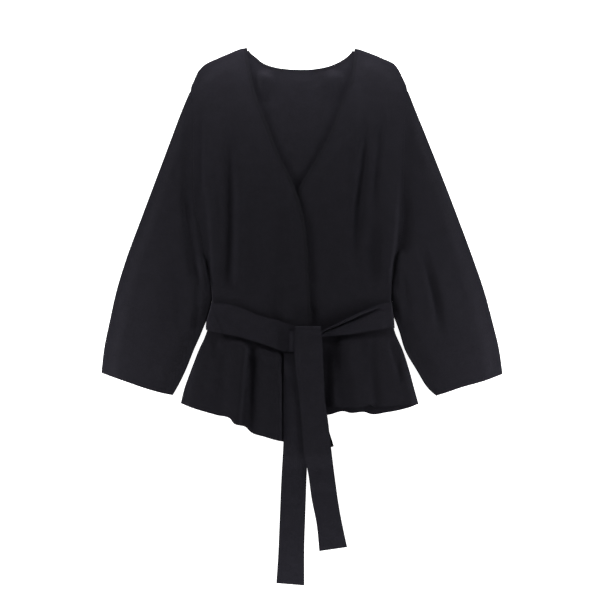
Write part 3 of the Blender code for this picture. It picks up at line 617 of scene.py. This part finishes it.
# Folds, rows of: start x and drop, end x and drop, sideways bow, height, reach to the left and
# right, the lengths over which it grows and fades, and how far its crest leans sideways.
FRONT_FOLDS = [
    (-179, 100, -184, 300, 0, -2.6, 9, 14, 50, 60, 0),
    (-172, 170, -150, 436, 5, 2.6, 12, 16, 120, 30, 0),
    (-139, 60, -130, 444, 11, -3.8, 16, 17, 170, 10, 0),
    (-104, 150, -106, 444, 4, 2.8, 20, 34, 120, 10, 0),
    (-60, 330, -66, 470, 0, 0.9, 14, 18, 60, 30, 0),
    (104, 90, 82, 300, 3, 2.2, 16, 14, 60, 90, 0),
    (116, 115, 90, 420, -6, -3.3, 14, 14, 90, 90, 0),
    (132, 140, 108, 360, -2, 2.2, 12, 13, 60, 90, 0),
    (142, 100, 119, 310, -2, -3.4, 13, 14, 60, 90, 0),
    (168, 190, 150, 446, 0, 4.6, 48, 11, 120, 20, 0),
    (122, 290, 122, 446, 0, -4.0, 26, 24, 80, 10, 0),
    (60, 340, 52, 470, 0, 0.8, 16, 16, 60, 30, 0),
    (-177, 520, -196, 640, 0, 3.4, 18, 22, 60, 1, 0),
    (-148, 490, -152, 560, 0, -3.4, 14, 16, 10, 50, 0),
    (-104, 500, -118, 670, 0, 6.8, 34, 14, 34, 1, 3),
    (-88, 500, -90, 680, 0, -2.6, 12, 14, 10, 1, 0),
    (-41, 500, -41, 700, 0, 3.6, 40, 12, 40, 1, 0),
    (52, 500, 72, 640, 0, -0.8, 16, 14, 10, 1, 0),
    (80, 500, 102, 640, 0, 5.4, 30, 30, 30, 1, 0),
    (130, 490, 132, 545, 0, -1.6, 20, 20, 6, 40, 0),
    (119, 500, 130, 640, 0, -1.6, 12, 14, 30, 1, 0),
    (154, 508, 174, 600, 2, -3.6, 12, 11, 20, 50, 0),
    (172, 530, 195, 640, 0, 3.0, 14, 16, 60, 1, 0),
]


def drop_of(table, x):
    """The drop of an edge at an x."""
    rows = np.asarray(table, float)
    return np.interp(x, rows[:, 0], rows[:, 1])


def folds(table, x, drop):
    """Sum of the folds' heights at plan points, and the sideways lean of their crests.

    A fold's section is a squared cosine about its crest, with its own reach to each side.
    Its height grows from its start and fades to its end.
    """
    height = np.zeros_like(x)
    lean = np.zeros_like(x)
    for x0, d0, x1, d1, bow, rise, reach_left, reach_right, grow, fade, tilt in table:
        t = (drop - d0) / (d1 - d0)
        crest = x0 + (x1 - x0) * t + 4 * bow * t * (1 - t)
        reach = np.where(x < crest, reach_left, reach_right)
        side = np.clip(np.abs(x - crest) / reach, 0, 1)
        strength = step_up(drop, d0, d0 + grow) * (1 - step_up(drop, d1 - fade, d1))
        bump = np.cos(np.pi / 2 * side) ** 2 * strength
        height += rise * bump
        lean += tilt * bump
    return height, lean


def lifted(height):
    """Heights kept above 0 by a soft bend, so that cloth rests on what is below it."""
    softness = 0.5
    return 0.5 * (height + np.sqrt(height ** 2 + softness ** 2))


def neck_line(table, crossing, drop):
    """The x of a front's edge at a drop, or of its straight line below the crossing."""
    x0, d0, slope = crossing
    return np.where(drop < d0, x_of(table, drop), x0 + slope * (drop - d0))


def front_relief(x, drop):
    """Loft and folds of the fronts above the back, and the lean of the folds."""
    to_side = np.minimum(x - x_of(RIGHT_SIDE, drop), x_of(LEFT_SIDE, drop) - x)
    to_neck = np.maximum(neck_line(RIGHT_FRONT_EDGE, RIGHT_CROSSING, drop) - x,
                         x - neck_line(LEFT_FRONT_EDGE, LEFT_CROSSING, drop))
    shoulder_line = drop_of(RIGHT_SHOULDER + LEFT_SHOULDER, x)
    loft = CROWN * step_up(to_side, 0, CROWN_REACH) * step_up(to_neck, 0, CROWN_REACH)
    loft *= step_up(drop - shoulder_line, 0, CROWN_REACH)
    height, lean = folds(FRONT_FOLDS, x, drop)
    height *= step_up(to_side, 0, FOLD_MARGIN)
    pressed_from = drop_of(BELT_TOP, x) - PRESS_MARGIN
    pressed_to = drop_of(BELT_BOTTOM, x) + PRESS_MARGIN
    opening, open_again = PRESS_BELOW
    under_belt = step_up(drop, pressed_from - PRESS_ABOVE, pressed_from)
    under_belt = under_belt * (1 - step_up(drop, pressed_to + opening, pressed_to + open_again))
    under_tails = step_up(x, *TAILS_LEFT) * (1 - step_up(x, *TAILS_RIGHT))
    free = (1 - under_belt) * (1 - under_tails * step_up(drop, *TAILS_TOP))
    return lifted(loft + height) * free, lean * free


def lower_front_height(x, drop):
    """Middle height of the front that lies on the back."""
    climb_end = np.maximum(BELT_END + CLIMB_PAST, drop_of(BELT_BOTTOM, x) + CLIMB_PAST_STRAP)
    climb = window(drop, BELT_START - CLIMB_PAST, climb_end, BELT_RAMP + CLIMB_LONGER)
    return HALF + PLY + PLY * climb + front_relief(x, drop)[0]


def upper_front_height(x, drop):
    """Middle height of the front that also lies on the other front's edge."""
    far, near = OVERLAP_RAMP
    lower_edge = x_of(LEFT_FRONT_EDGE, drop)
    rise = OVERLAP_RISE * step_up(x, lower_edge - far, lower_edge - near)
    return lower_front_height(x, drop) + rise


def front_lean(x, drop):
    """Sideways lean of the fronts' folds."""
    return front_relief(x, drop)[1]


def inset_edge(points, distance, shoulder):
    """A front's edge moved in by the band, and its corner, which lies on the shoulder's line."""
    along = curve(shoulder)(np.linspace(0, 1, FINE))
    from_neck = np.linalg.norm(along - along[0], axis=1)
    corner = along[np.searchsorted(from_neck, abs(distance))]
    line = moved_aside(curve(points), distance)(np.linspace(0.04, 1, 22))
    return curve([corner, *line]), corner


def build_front(name, node, grid, height):
    """A front's cloth over its plan grid, at the given height and with its edges turned down."""
    plan, fall = grid
    x, drop = plan[..., 0], plan[..., 1]
    end = LIP_END + PLY * window(drop, *LIP_LIFT)
    middle = surface(plan, height(x, drop), fall, front_lean(x, drop), end)
    cloth(name, node, middle, body_knit, plan_area(plan))


edge, corner = inset_edge(RIGHT_FRONT_EDGE, BAND_WIDTH + SEAM, RIGHT_SHOULDER[::-1])
sides = (curve(RIGHT_SIDE), edge, curve(RIGHT_SHOULDER[:-1] + [corner]),
         curve(RIGHT_HEM[:-1] + [ends(edge)[1]]))
right_grid = plan_grid(sides, np.linspace(0.025, 1, 72), turned_left=side_turns(UNDERARM_RIGHT),
                       turned_top=True)
build_front("front_right_cloth", "front_right", right_grid, upper_front_height)

edge, corner = inset_edge(LEFT_FRONT_EDGE, -BAND_WIDTH - SEAM, LEFT_SHOULDER)
sides = (edge, curve(LEFT_SIDE), curve([corner] + LEFT_SHOULDER[2:]),
         curve([ends(edge)[1]] + LEFT_HEM[1:]))
left_grid = plan_grid(sides, np.linspace(0, 0.975, 70),
                      turned_right=side_turns(UNDERARM_LEFT, notch=NOTCH_LEFT), turned_top=True)
build_front("front_left_cloth", "front_left", left_grid, lower_front_height)

# Bands down the fronts
# The same self band runs on down the edge of each front, from the shoulder seam to the hem. It
# is sewn to the front's edge and lies in one plane with it.
BAND_REACH = 2.6        # how far a band runs on above its front's last even row


def up_to_shoulder(border):
    """A border with one more point at its top, which lies on the shoulder's line."""
    return np.concatenate([border[:1] + unit(border[:1] - border[1:2]) * BAND_REACH, border])


below_turn = len(TURNED) - 1
build_band("neckband_right_cloth", "neckband_right",
           up_to_shoulder(right_grid[0][below_turn:, -1]), -1, upper_front_height, front_lean)
build_band("neckband_left_cloth", "neckband_left",
           up_to_shoulder(left_grid[0][below_turn:, 0]), 1, lower_front_height, front_lean)

# Sleeves
# Each is one knitted piece folded lengthwise and seamed along its inner edge, then sewn into
# the dropped armhole. It lies flat as a tube of two layers, with a soft fold on its outer edge.
RIGHT_SLEEVE_OUTER = [(-195.5, 79), (-208, 109), (-229, 164), (-255.5, 234), (-282, 304),
                      (-308, 374), (-324, 426), (-336, 479), (-346.5, 531), (-351, 571)]
RIGHT_SLEEVE_INNER = [(-172.6, 356), (-169.3, 373), (-163.8, 401), (-159.2, 424), (-157.9, 434),
                      (-157.6, 441), (-157.9, 445), (-158.8, 448), (-159.9, 453), (-161.6, 460),
                      (-165, 471), (-167.65, 481), (-171, 489), (-175.8, 501), (-189, 531),
                      (-203, 566), (-219, 598), (-226, 610)]
RIGHT_CUFF = [(-351, 571), (-311, 585), (-270, 599), (-241, 607), (-226, 610)]
LEFT_SLEEVE_OUTER = [(184.5, 78), (197.4, 111), (219, 164), (247, 234), (274, 304), (300, 374),
                     (318, 426), (332.5, 479), (345, 531), (351, 573)]
LEFT_SLEEVE_INNER = [(170, 351), (166.5, 366), (161.8, 389), (158.4, 412), (157, 430),
                     (156.4, 441), (156.8, 445), (157.9, 448), (158.4, 454), (159.1, 462),
                     (161.4, 475), (164.9, 484), (169.8, 498), (180, 531), (200, 566),
                     (223, 601), (234.5, 611)]
LEFT_CUFF = [(351, 573), (318, 585), (276, 597), (250, 606), (234.5, 611)]
RIGHT_SLEEVE_FOLDS = [
    (-205, 230, -182, 420, 0, -4.4, 18, 14, 70, 30, 0),
    (-178, 360, -192, 530, 2, -2.2, 10, 11, 60, 70, 0),
    (-205, 385, -214, 520, 0, -2.2, 22, 24, 60, 60, 0),
    (-238, 330, -262, 540, 0, 1.6, 28, 26, 90, 70, 0),
    (-205, 150, -200, 360, 2, -1.6, 16, 20, 90, 90, 0),
]
LEFT_SLEEVE_FOLDS = [
    (197, 320, 242, 520, 6, -3.0, 11, 17, 90, 70, 0),
    (216, 345, 264, 530, 6, 2.0, 20, 32, 80, 70, 0),
    (160, 414, 180, 490, 0, 1.8, 7, 7, 20, 30, 0),
    (171, 380, 190, 480, 0, -1.4, 8, 9, 30, 30, 0),
    (232, 180, 268, 360, 0, 1.4, 26, 26, 80, 80, 0),
    (196, 150, 205, 330, 0, -1.4, 16, 18, 80, 80, 0),
]
# The outer edge of a sleeve's section: inset from the edge, and how far the top layer's middle
# has come down there.
SLEEVE_ROUND = [(1.0, 1.15), (1.08, 0.8), (1.35, 0.3), (1.9, 0.08), (2.8, 0.0), (5.0, 0.0),
                (8.0, 0.0), (12.0, 0.0), (17.0, 0.0), (22.0, 0.0)]
SLEEVE_CROWN = 5.2      # loft of the top layer between its edges
ROUND_EDGE, ROUND_END = 1.5, 6      # distances from an edge between which the top layer lifts
EDGE_CALM = (2, 12)     # distances from an edge between which the folds and the tuck come in
CAP_LOFT, CAP_FOLDS = 24, 20        # distances from the armhole to full loft and full folds
TUCK_FADE = (2, 30)     # distances from the armhole between which the tuck dies away
UNDERARM_GAP = (0.3, 318, 345)      # what the gap at the armhole gains, and between which drops
CAP_ROWS = (0.08, 8, 150)           # share of the length that has close rows, and the two counts

# Below the underarm the lower layer also reaches under the body's side, down to the belt: by how
# much, the drops over which it comes and goes, and the distances from the edge where it fades.
SIDE_TUCK, SIDE_TUCK_START, SIDE_TUCK_END = 2.6, (374, 388), (443.5, 445.5)
SIDE_TUCK_FADE = (2, 20)


def armhole_gap(drop):
    """Gap between the body and a sleeve's end, wider at the underarm, where the edge turns."""
    gain, start, end = UNDERARM_GAP
    return SEAM + gain * step_up(drop, start, end)


def build_sleeve(name, node, side, drops, outer, inner, cuff, table, flip, grain):
    """A sleeve laid flat: a tube whose rings run over the top and back along the underside.

    The rings start a seam's gap outside the body's armhole, between the two drops of the
    side's outline, and end at the cuff.
    """
    t = np.linspace(0, 1, FINE)
    side_path = curve(side)
    shares = np.interp(drops, side_path(t)[:, 1], t)
    sign = 1 if flip else -1
    armhole = shifted(lambda u: side_path(shares[0] + u * np.ptp(shares)),
                      lambda drop: sign * armhole_gap(drop))
    top, underarm = ends(armhole)
    outer, inner = curve([top] + outer[1:]), curve([underarm] + inner[1:])
    cap, cap_rows, rows = CAP_ROWS
    v = np.concatenate([np.linspace(0, cap, cap_rows, endpoint=False), np.linspace(cap, 1, rows)])
    width = np.linalg.norm(outer(v) - inner(v), axis=1)
    near = [inset / width for inset, _ in SLEEVE_ROUND]
    between = np.linspace(0, 1, 44)[1:-1]
    u = np.stack(near + [near[-1] + (1 - 2 * near[-1]) * share for share in between]
                 + [1 - share for share in near[::-1]], axis=1)
    rises = [rise for _, rise in SLEEVE_ROUND]
    rises = np.array(rises + [0.0] * len(between) + rises[::-1])
    plan = patch(outer, inner, armhole, curve(cuff), u, np.repeat(v[:, None], u.shape[1], axis=1))
    x, drop = plan[..., 0], plan[..., 1]
    to_edge = np.minimum(u, 1 - u) * width[:, None]
    seam = armhole(np.linspace(0, 1, 80))
    past_underarm = np.maximum(drop - seam[-1, 1], 0)
    from_armhole = np.hypot(x - np.interp(drop, seam[:, 1], seam[:, 0]), past_underarm)
    inward = step_up(to_edge, *EDGE_CALM)
    loft = SLEEVE_CROWN * step_up(to_edge, ROUND_EDGE, CROWN_REACH)
    loft = loft * step_up(from_armhole, 0, CAP_LOFT)
    height = folds(table, x, drop)[0] * inward * step_up(from_armhole, 0, CAP_FOLDS)
    over = HALF + PLY + lifted(loft + height) * step_up(to_edge, ROUND_EDGE, ROUND_END) - rises
    tuck = TUCK * (1 - step_up(from_armhole, *TUCK_FADE)) * inward
    beside_body = step_up(drop, *SIDE_TUCK_START) * (1 - step_up(drop, *SIDE_TUCK_END))
    at_inner_edge = (1 - step_up(to_edge, *SIDE_TUCK_FADE)) * (u > 0.5)
    tuck = tuck + SIDE_TUCK * beside_body * at_inner_edge
    under = surface(plan, np.broadcast_to(HALF + rises, x.shape), lean=-sign * tuck)
    ring = np.concatenate([surface(plan, over), under[:, 1:-1][:, ::-1]], axis=1)
    cloth(name, node, ring[:, ::-1] if flip else ring, body_knit,
          2 * plan_area(plan), ring=True, grain=grain)


build_sleeve("sleeve_right_cloth", "sleeve_right", RIGHT_SIDE, (NOTCH_RIGHT, UNDERARM_RIGHT),
             RIGHT_SLEEVE_OUTER, RIGHT_SLEEVE_INNER, RIGHT_CUFF, RIGHT_SLEEVE_FOLDS, False,
             -20.0)
build_sleeve("sleeve_left_cloth", "sleeve_left", LEFT_SIDE, (NOTCH_LEFT, UNDERARM_LEFT),
             LEFT_SLEEVE_OUTER, LEFT_SLEEVE_INNER, LEFT_CUFF, LEFT_SLEEVE_FOLDS, True,
             20.0)

# Belt behind the waist
# The belt is one long strip of knit. This stretch lies flat on the table under the back, and
# ends just outside the folds at the sides of the waist, under the ends of the straps.
BELT_BACK_DROPS = (445.8, 493)
BELT_GRAIN = 90.0       # the belt's wales run along it, across the body
# Where the belt folds to the front at each side of the waist, rows of x and drop. Behind the
# waist each side has one more corner at its top, and reaches out a little further.
STRAP_RIGHT_END = [(-158.4, 448), (-161.2, 460), (-164.6, 471), (-167.3, 481), (-168.2, 490),
                   (-168, 502)]
STRAP_LEFT_END = [(157.4, 448), (158.6, 462), (160.8, 475), (161.8, 491), (162, 500)]
BACK_CORNER_RIGHT, BACK_CORNER_LEFT = (-157.4, 445.6), (156.4, 445.6)
REACH_RIGHT, REACH_LEFT = 0.25, 0.3
# The belt's yarn colours are lighter than the body's, though it is the same yarn: painted light.
belt_knit = knit_material("belt_knit", (0.0066, 0.0061, 0.0094), (0.0172, 0.0160, 0.0236),
                          1.5, 1.15)

drops = np.linspace(*BELT_BACK_DROPS, 20)
start = x_of([BACK_CORNER_RIGHT] + STRAP_RIGHT_END, drops) - REACH_RIGHT
end = x_of([BACK_CORNER_LEFT] + STRAP_LEFT_END, drops) + REACH_LEFT
x = start[:, None] + (end - start)[:, None] * np.linspace(0, 1, 90)
plan = np.stack([x, np.repeat(drops[:, None], x.shape[1], axis=1)], axis=-1)
cloth("belt_back_cloth", "belt_back", surface(plan, np.full(x.shape, HALF)), belt_knit,
      plan_area(plan), grain=BELT_GRAIN)

# Belt across the fronts
# The strap on the wearer's right keeps its full width. The one on the left is drawn in to the
# knot, with a roll along its upper edge and a deep groove below the roll.
STRAP_RIGHT_TOP = [(-158.4, 448), (-121, 452.5), (-101, 459), (-77, 470), (-42, 479), (-13, 489)]
STRAP_RIGHT_BOTTOM = [(-170.4, 496), (-138, 502), (-102, 510), (-60, 523), (-32, 533), (-11, 534)]
# Each row is an x, the drops of the strap's upper edge, of the groove's two sides and of its
# lower edge, and the height of its rolls.
STRAP_LEFT = [
    (34, 497.5, 499.5, 502.5, 507.5, 4.0),
    (60, 485.5, 487.8, 494.5, 505.5, 4.4),
    (84, 473.5, 475.8, 485.5, 503.5, 4.4),
    (108, 462, 464.4, 476, 499.8, 3.4),
    (131, 452.2, 456, 464.5, 495.6, 1.6),
    (146, 448.4, 455, 466, 493, 0.4),
    (157.4, 448, 458, 474, 491, 0.2),
]
# Heights across the left strap's section, from its upper edge over the two sides of the groove
# to its lower edge: shares of the rolls' height, and millimetres by which it stands proud.
SECTION_SHARES = [0.6, 1.0, 0.0, 0.0, 0.9, 1.0, 0.6, 0.2]
SECTION_PROUD = [0.0, 0.0, 0.0, 0.0, 0.3, 1.0, 1.8, 2.2]
PROUD_STRETCH = (54, 138, 14)       # the stretch of x that stands proud, and its ramps
GROOVE_SLOPE = 0.3      # share of the groove's width that each of its sides takes
FACE_LINES = (0.3, 0.65)            # two more lines on the face below it, as shares
END_INSET = 0.2         # inset of a strap's turned end from the fold at the side
OVERLAP_STRETCH = (-40, 24, 26)     # where the straps lie on the fronts' overlap, and the ramps
# The right strap's loft, the crease near its outer end, and how far its lower edge stands off
# the skirt. The crease has a stretch of x, a ramp and a slant. The lift has shares of the strap's
# width, and the stretches of x over which it comes in and dies away towards the knot.
STRAP_CROWN, STRAP_CREASE, STRAP_LIFT = 1.4, 0.9, 2.8
CREASE_STRETCH, CREASE_SLANT = (-161, -158, 5), 26
LIFT_SHARES, LIFT_START, LIFT_FADE = (0.3, 0.95), (-166, -150), (-90, -32)


def strap_level(x):
    """Middle height of a belt strap that lies on the fronts at the waist."""
    return HALF + 3 * PLY + OVERLAP_RISE * window(x, *OVERLAP_STRETCH)


v = np.linspace(0, 1, 21)[:, None]
u = np.concatenate([np.zeros(len(TURNED)), np.linspace(0.03, 1, 58)])
fall = np.concatenate([[share for _, share in TURNED], np.zeros(len(u) - len(TURNED))])
plan = curve(STRAP_RIGHT_TOP)(u) * (1 - v[..., None]) + curve(STRAP_RIGHT_BOTTOM)(u) * v[..., None]
for column, (edge_inset, _) in enumerate(TURNED):
    plan[:, column, 0] = x_of(STRAP_RIGHT_END, plan[:, column, 1]) + END_INSET + edge_inset
x = plan[..., 0]
crown = STRAP_CROWN * np.sin(np.pi * v) ** 0.6
crease = STRAP_CREASE * window(x - CREASE_SLANT * v, *CREASE_STRETCH)
lift = STRAP_LIFT * step_up(v, *LIFT_SHARES) + crown - crease
lift = lift * (1 - step_up(x, *LIFT_FADE)) * step_up(x, *LIFT_START)
cloth("belt_strap_right_cloth", "belt_strap_right",
      surface(plan, strap_level(x) + lift, fall, end=PLY), belt_knit,
      None, grain=BELT_GRAIN)

table = np.array(STRAP_LEFT)
x = np.concatenate([np.linspace(table[0, 0], 152, 56), np.full(len(TURNED), table[-1, 0])])
fall = np.concatenate([np.zeros(len(x) - len(TURNED)), [share for _, share in TURNED[::-1]]])
upper, groove_start, groove_end, lower, rise = [
    np.interp(x, table[:, 0], column) for column in table[:, 1:].T]
slope = GROOVE_SLOPE * (groove_end - groove_start)
face = lower - groove_end
lines = np.stack([upper, groove_start, groove_start + slope, groove_end - slope, groove_end,
                  *(groove_end + share * face for share in FACE_LINES), lower])
levels = np.array(SECTION_SHARES)[:, None] * rise
levels = levels + np.array(SECTION_PROUD)[:, None] * window(x, *PROUD_STRETCH)
place = np.linspace(0, len(lines) - 1, 31)
row = np.minimum(place.astype(int), len(lines) - 2)
part = (place - row)[:, None]
drop = lines[row] * (1 - part) + lines[row + 1] * part
soft = part * part * (3 - 2 * part)
level = HALF + 3 * PLY + levels[row] * (1 - soft) + levels[row + 1] * soft
plan = np.stack([np.broadcast_to(x, drop.shape), drop], axis=-1)
for column, (edge_inset, _) in enumerate(TURNED, start=1):
    plan[:, -column, 0] = x_of(STRAP_LEFT_END, drop[:, -column]) - END_INSET - edge_inset
cloth("belt_strap_left_cloth", "belt_strap_left", surface(plan, level, fall, end=PLY), belt_knit,
      plan_area(plan), grain=BELT_GRAIN)

# Knot
# The wrapped core of the half knot, a flat pillow of cloth under the end that falls over it.
# It is the same strip of belt, pulled tight round itself, thinner at the rim than in the middle.
KNOT_X, KNOT_DROP, KNOT_SIZE = -22.5, 497.5, (54.0, 37.0)
KNOT_DEPTH = 4.4        # thickness in the middle
KNOT_BOTTOM = 12.2      # height of the flat underside
KNOT_RIM = 9            # distance from the edge to full thickness
THIN_LEFT = 1.1         # what the left rim is thinner by

u, v = np.meshgrid(np.linspace(0, 1, 28), np.linspace(0, 1, 20))
plan = np.stack([KNOT_X + KNOT_SIZE[0] * u, KNOT_DROP + KNOT_SIZE[1] * v], axis=-1)
to_edge = np.minimum(np.minimum(u, 1 - u) * KNOT_SIZE[0], np.minimum(v, 1 - v) * KNOT_SIZE[1])
thin = THIN_LEFT * (1 - step_up(u * KNOT_SIZE[0], 0, KNOT_RIM))
thickness = WALL + (KNOT_DEPTH - WALL) * step_up(to_edge, 0, KNOT_RIM) - thin
cloth("belt_knot_cloth", "belt_knot", surface(plan, KNOT_BOTTOM + thickness / 2), belt_knit,
      None, wall=thickness)

# Hanging ends of the belt
# The two long flat ends. The wearer's left one comes out under the knot, and the other rolls
# over the knot and lies across it.
TAIL_RIGHT_LEFT = [(-12.5, 489), (-12.8, 542), (-5.6, 605), (-1.8, 643), (2.8, 703), (11.2, 750),
                   (17.2, 794), (25.2, 834), (30.3, 883)]
TAIL_RIGHT_RIGHT = [(33, 489), (34.5, 508), (37.3, 566), (40.3, 619), (45.5, 654), (50.4, 697),
                    (57.4, 753), (66.5, 815), (79, 876)]
TAIL_LEFT_LEFT = [(-31.5, 537), (-32.4, 619), (-32.6, 692), (-36, 753), (-39, 825), (-42, 895),
                  (-45, 939)]
TAIL_LEFT_RIGHT = [(14, 537), (13, 619), (11, 692), (8.2, 750), (6.1, 815), (4.2, 874), (4, 943)]
# The roll at the knot's top edge, as drops and middle heights: its end lies under the tail, and
# it turns up and over.
KNOT_ROLL = [(497.0, 13.4), (494.5, 13.4), (492.6, 13.6), (491.2, 14.1), (490.4, 14.9),
             (490.2, 15.8), (490.4, 16.7), (491.1, 17.5), (492.2, 18.2)]
OVER_KNOT = 18.9        # middle height of the upper tail on the knot
LOWER_DROPS, UPPER_DROPS = (537, 941), (494, 880)
# Drops between which the tails come down: the lower one off the belt and then off the skirt,
# the upper one off the knot and then off the lower one.
OFF_BELT, OFF_SKIRT, OFF_KNOT, OFF_LOWER = (556, 590), (706, 746), (517, 563), (758, 784)
# Shallow pleats fan out of the knot: their height, how deep a hollow may be, how many waves
# cross the tail and from where in a wave, and the drops over which they come in and die away.
PLEAT, HOLLOW, PLEAT_WAVES, PLEAT_OFFSET = 0.9, 0.4, 1.5, 0.1
PLEAT_START, PLEAT_FADE = (494, 506), (500, 640)
# Just below the roll the upper tail dips a little: by how much, and the drops and the ramp. Its
# left edge arches down too: by how much, over which width, and the drops where that dies away.
DIP, DIP_STRETCH = 0.6, (500, 501.5, 5)
ARCH, ARCH_REACH, ARCH_FADE, UPPER_WIDTH = 0.8, 9, (505, 540), 46


def tail_left_level(drop):
    """Middle height of the lower tail, from the skirt down to the surface past the hem."""
    on_skirt = HALF + 2 * PLY + OVERLAP_RISE + SEAM + PLY * (1 - step_up(drop, *OFF_BELT))
    return HALF + (on_skirt - HALF) * (1 - step_up(drop, *OFF_SKIRT))


def tail_right_level(drop):
    """Middle height of the upper tail, from the knot down to the surface past the other tail."""
    climb = OVER_KNOT - tail_left_level(LOWER_DROPS[0]) - PLY
    on_knot = climb * (1 - step_up(drop, *OFF_KNOT))
    return tail_left_level(drop) + PLY * (1 - step_up(drop, *OFF_LOWER)) + on_knot


def tail_plan(left, right, drops):
    """Plan rows across a tail at the given drops, with its last row along its slanted end."""
    u = np.linspace(0, 1, 18)[:, None]
    t = np.linspace(0, 1, 300)
    rows = []
    for side in (curve(left), curve(right)):
        line = side(t)
        slant = np.interp(drops, [drops[0], drops[-1]], [0, line[-1, 1] - drops[-1]])
        x = np.interp(drops + slant, line[:, 1], line[:, 0])
        rows.append(np.stack([x, drops + slant], axis=-1))
    return rows[0][:, None] * (1 - u) + rows[1][:, None] * u


plan = tail_plan(TAIL_LEFT_LEFT, TAIL_LEFT_RIGHT, np.linspace(*LOWER_DROPS, 150))
cloth("belt_tail_left_cloth", "belt_tail_left", surface(plan, tail_left_level(plan[..., 1])),
      belt_knit, None)

plan = tail_plan(TAIL_RIGHT_LEFT, TAIL_RIGHT_RIGHT, np.linspace(*UPPER_DROPS, 145))
drop = plan[..., 1]
share = np.linspace(0, 1, plan.shape[1])
pleats = PLEAT * np.sin(2 * np.pi * (PLEAT_WAVES * share + PLEAT_OFFSET))
pleats = np.maximum(pleats * (1 - step_up(drop, *PLEAT_FADE)), -HOLLOW)
dip = DIP * window(drop, *DIP_STRETCH)
arch = ARCH * (1 - step_up(share * UPPER_WIDTH, 0, ARCH_REACH)) * (1 - step_up(drop, *ARCH_FADE))
level = tail_right_level(drop) + pleats * step_up(drop, *PLEAT_START) - dip - arch
roll = np.array(KNOT_ROLL)
rolled = np.repeat(plan[:1], len(roll), axis=0)
rolled[..., 1] = roll[:, :1]
rolled_level = np.repeat(roll[:, 1:], plan.shape[1], axis=1)
plan, level = np.concatenate([rolled, plan]), np.concatenate([rolled_level, level])
cloth("belt_tail_right_cloth", "belt_tail_right", surface(plan, level), belt_knit,
      None)
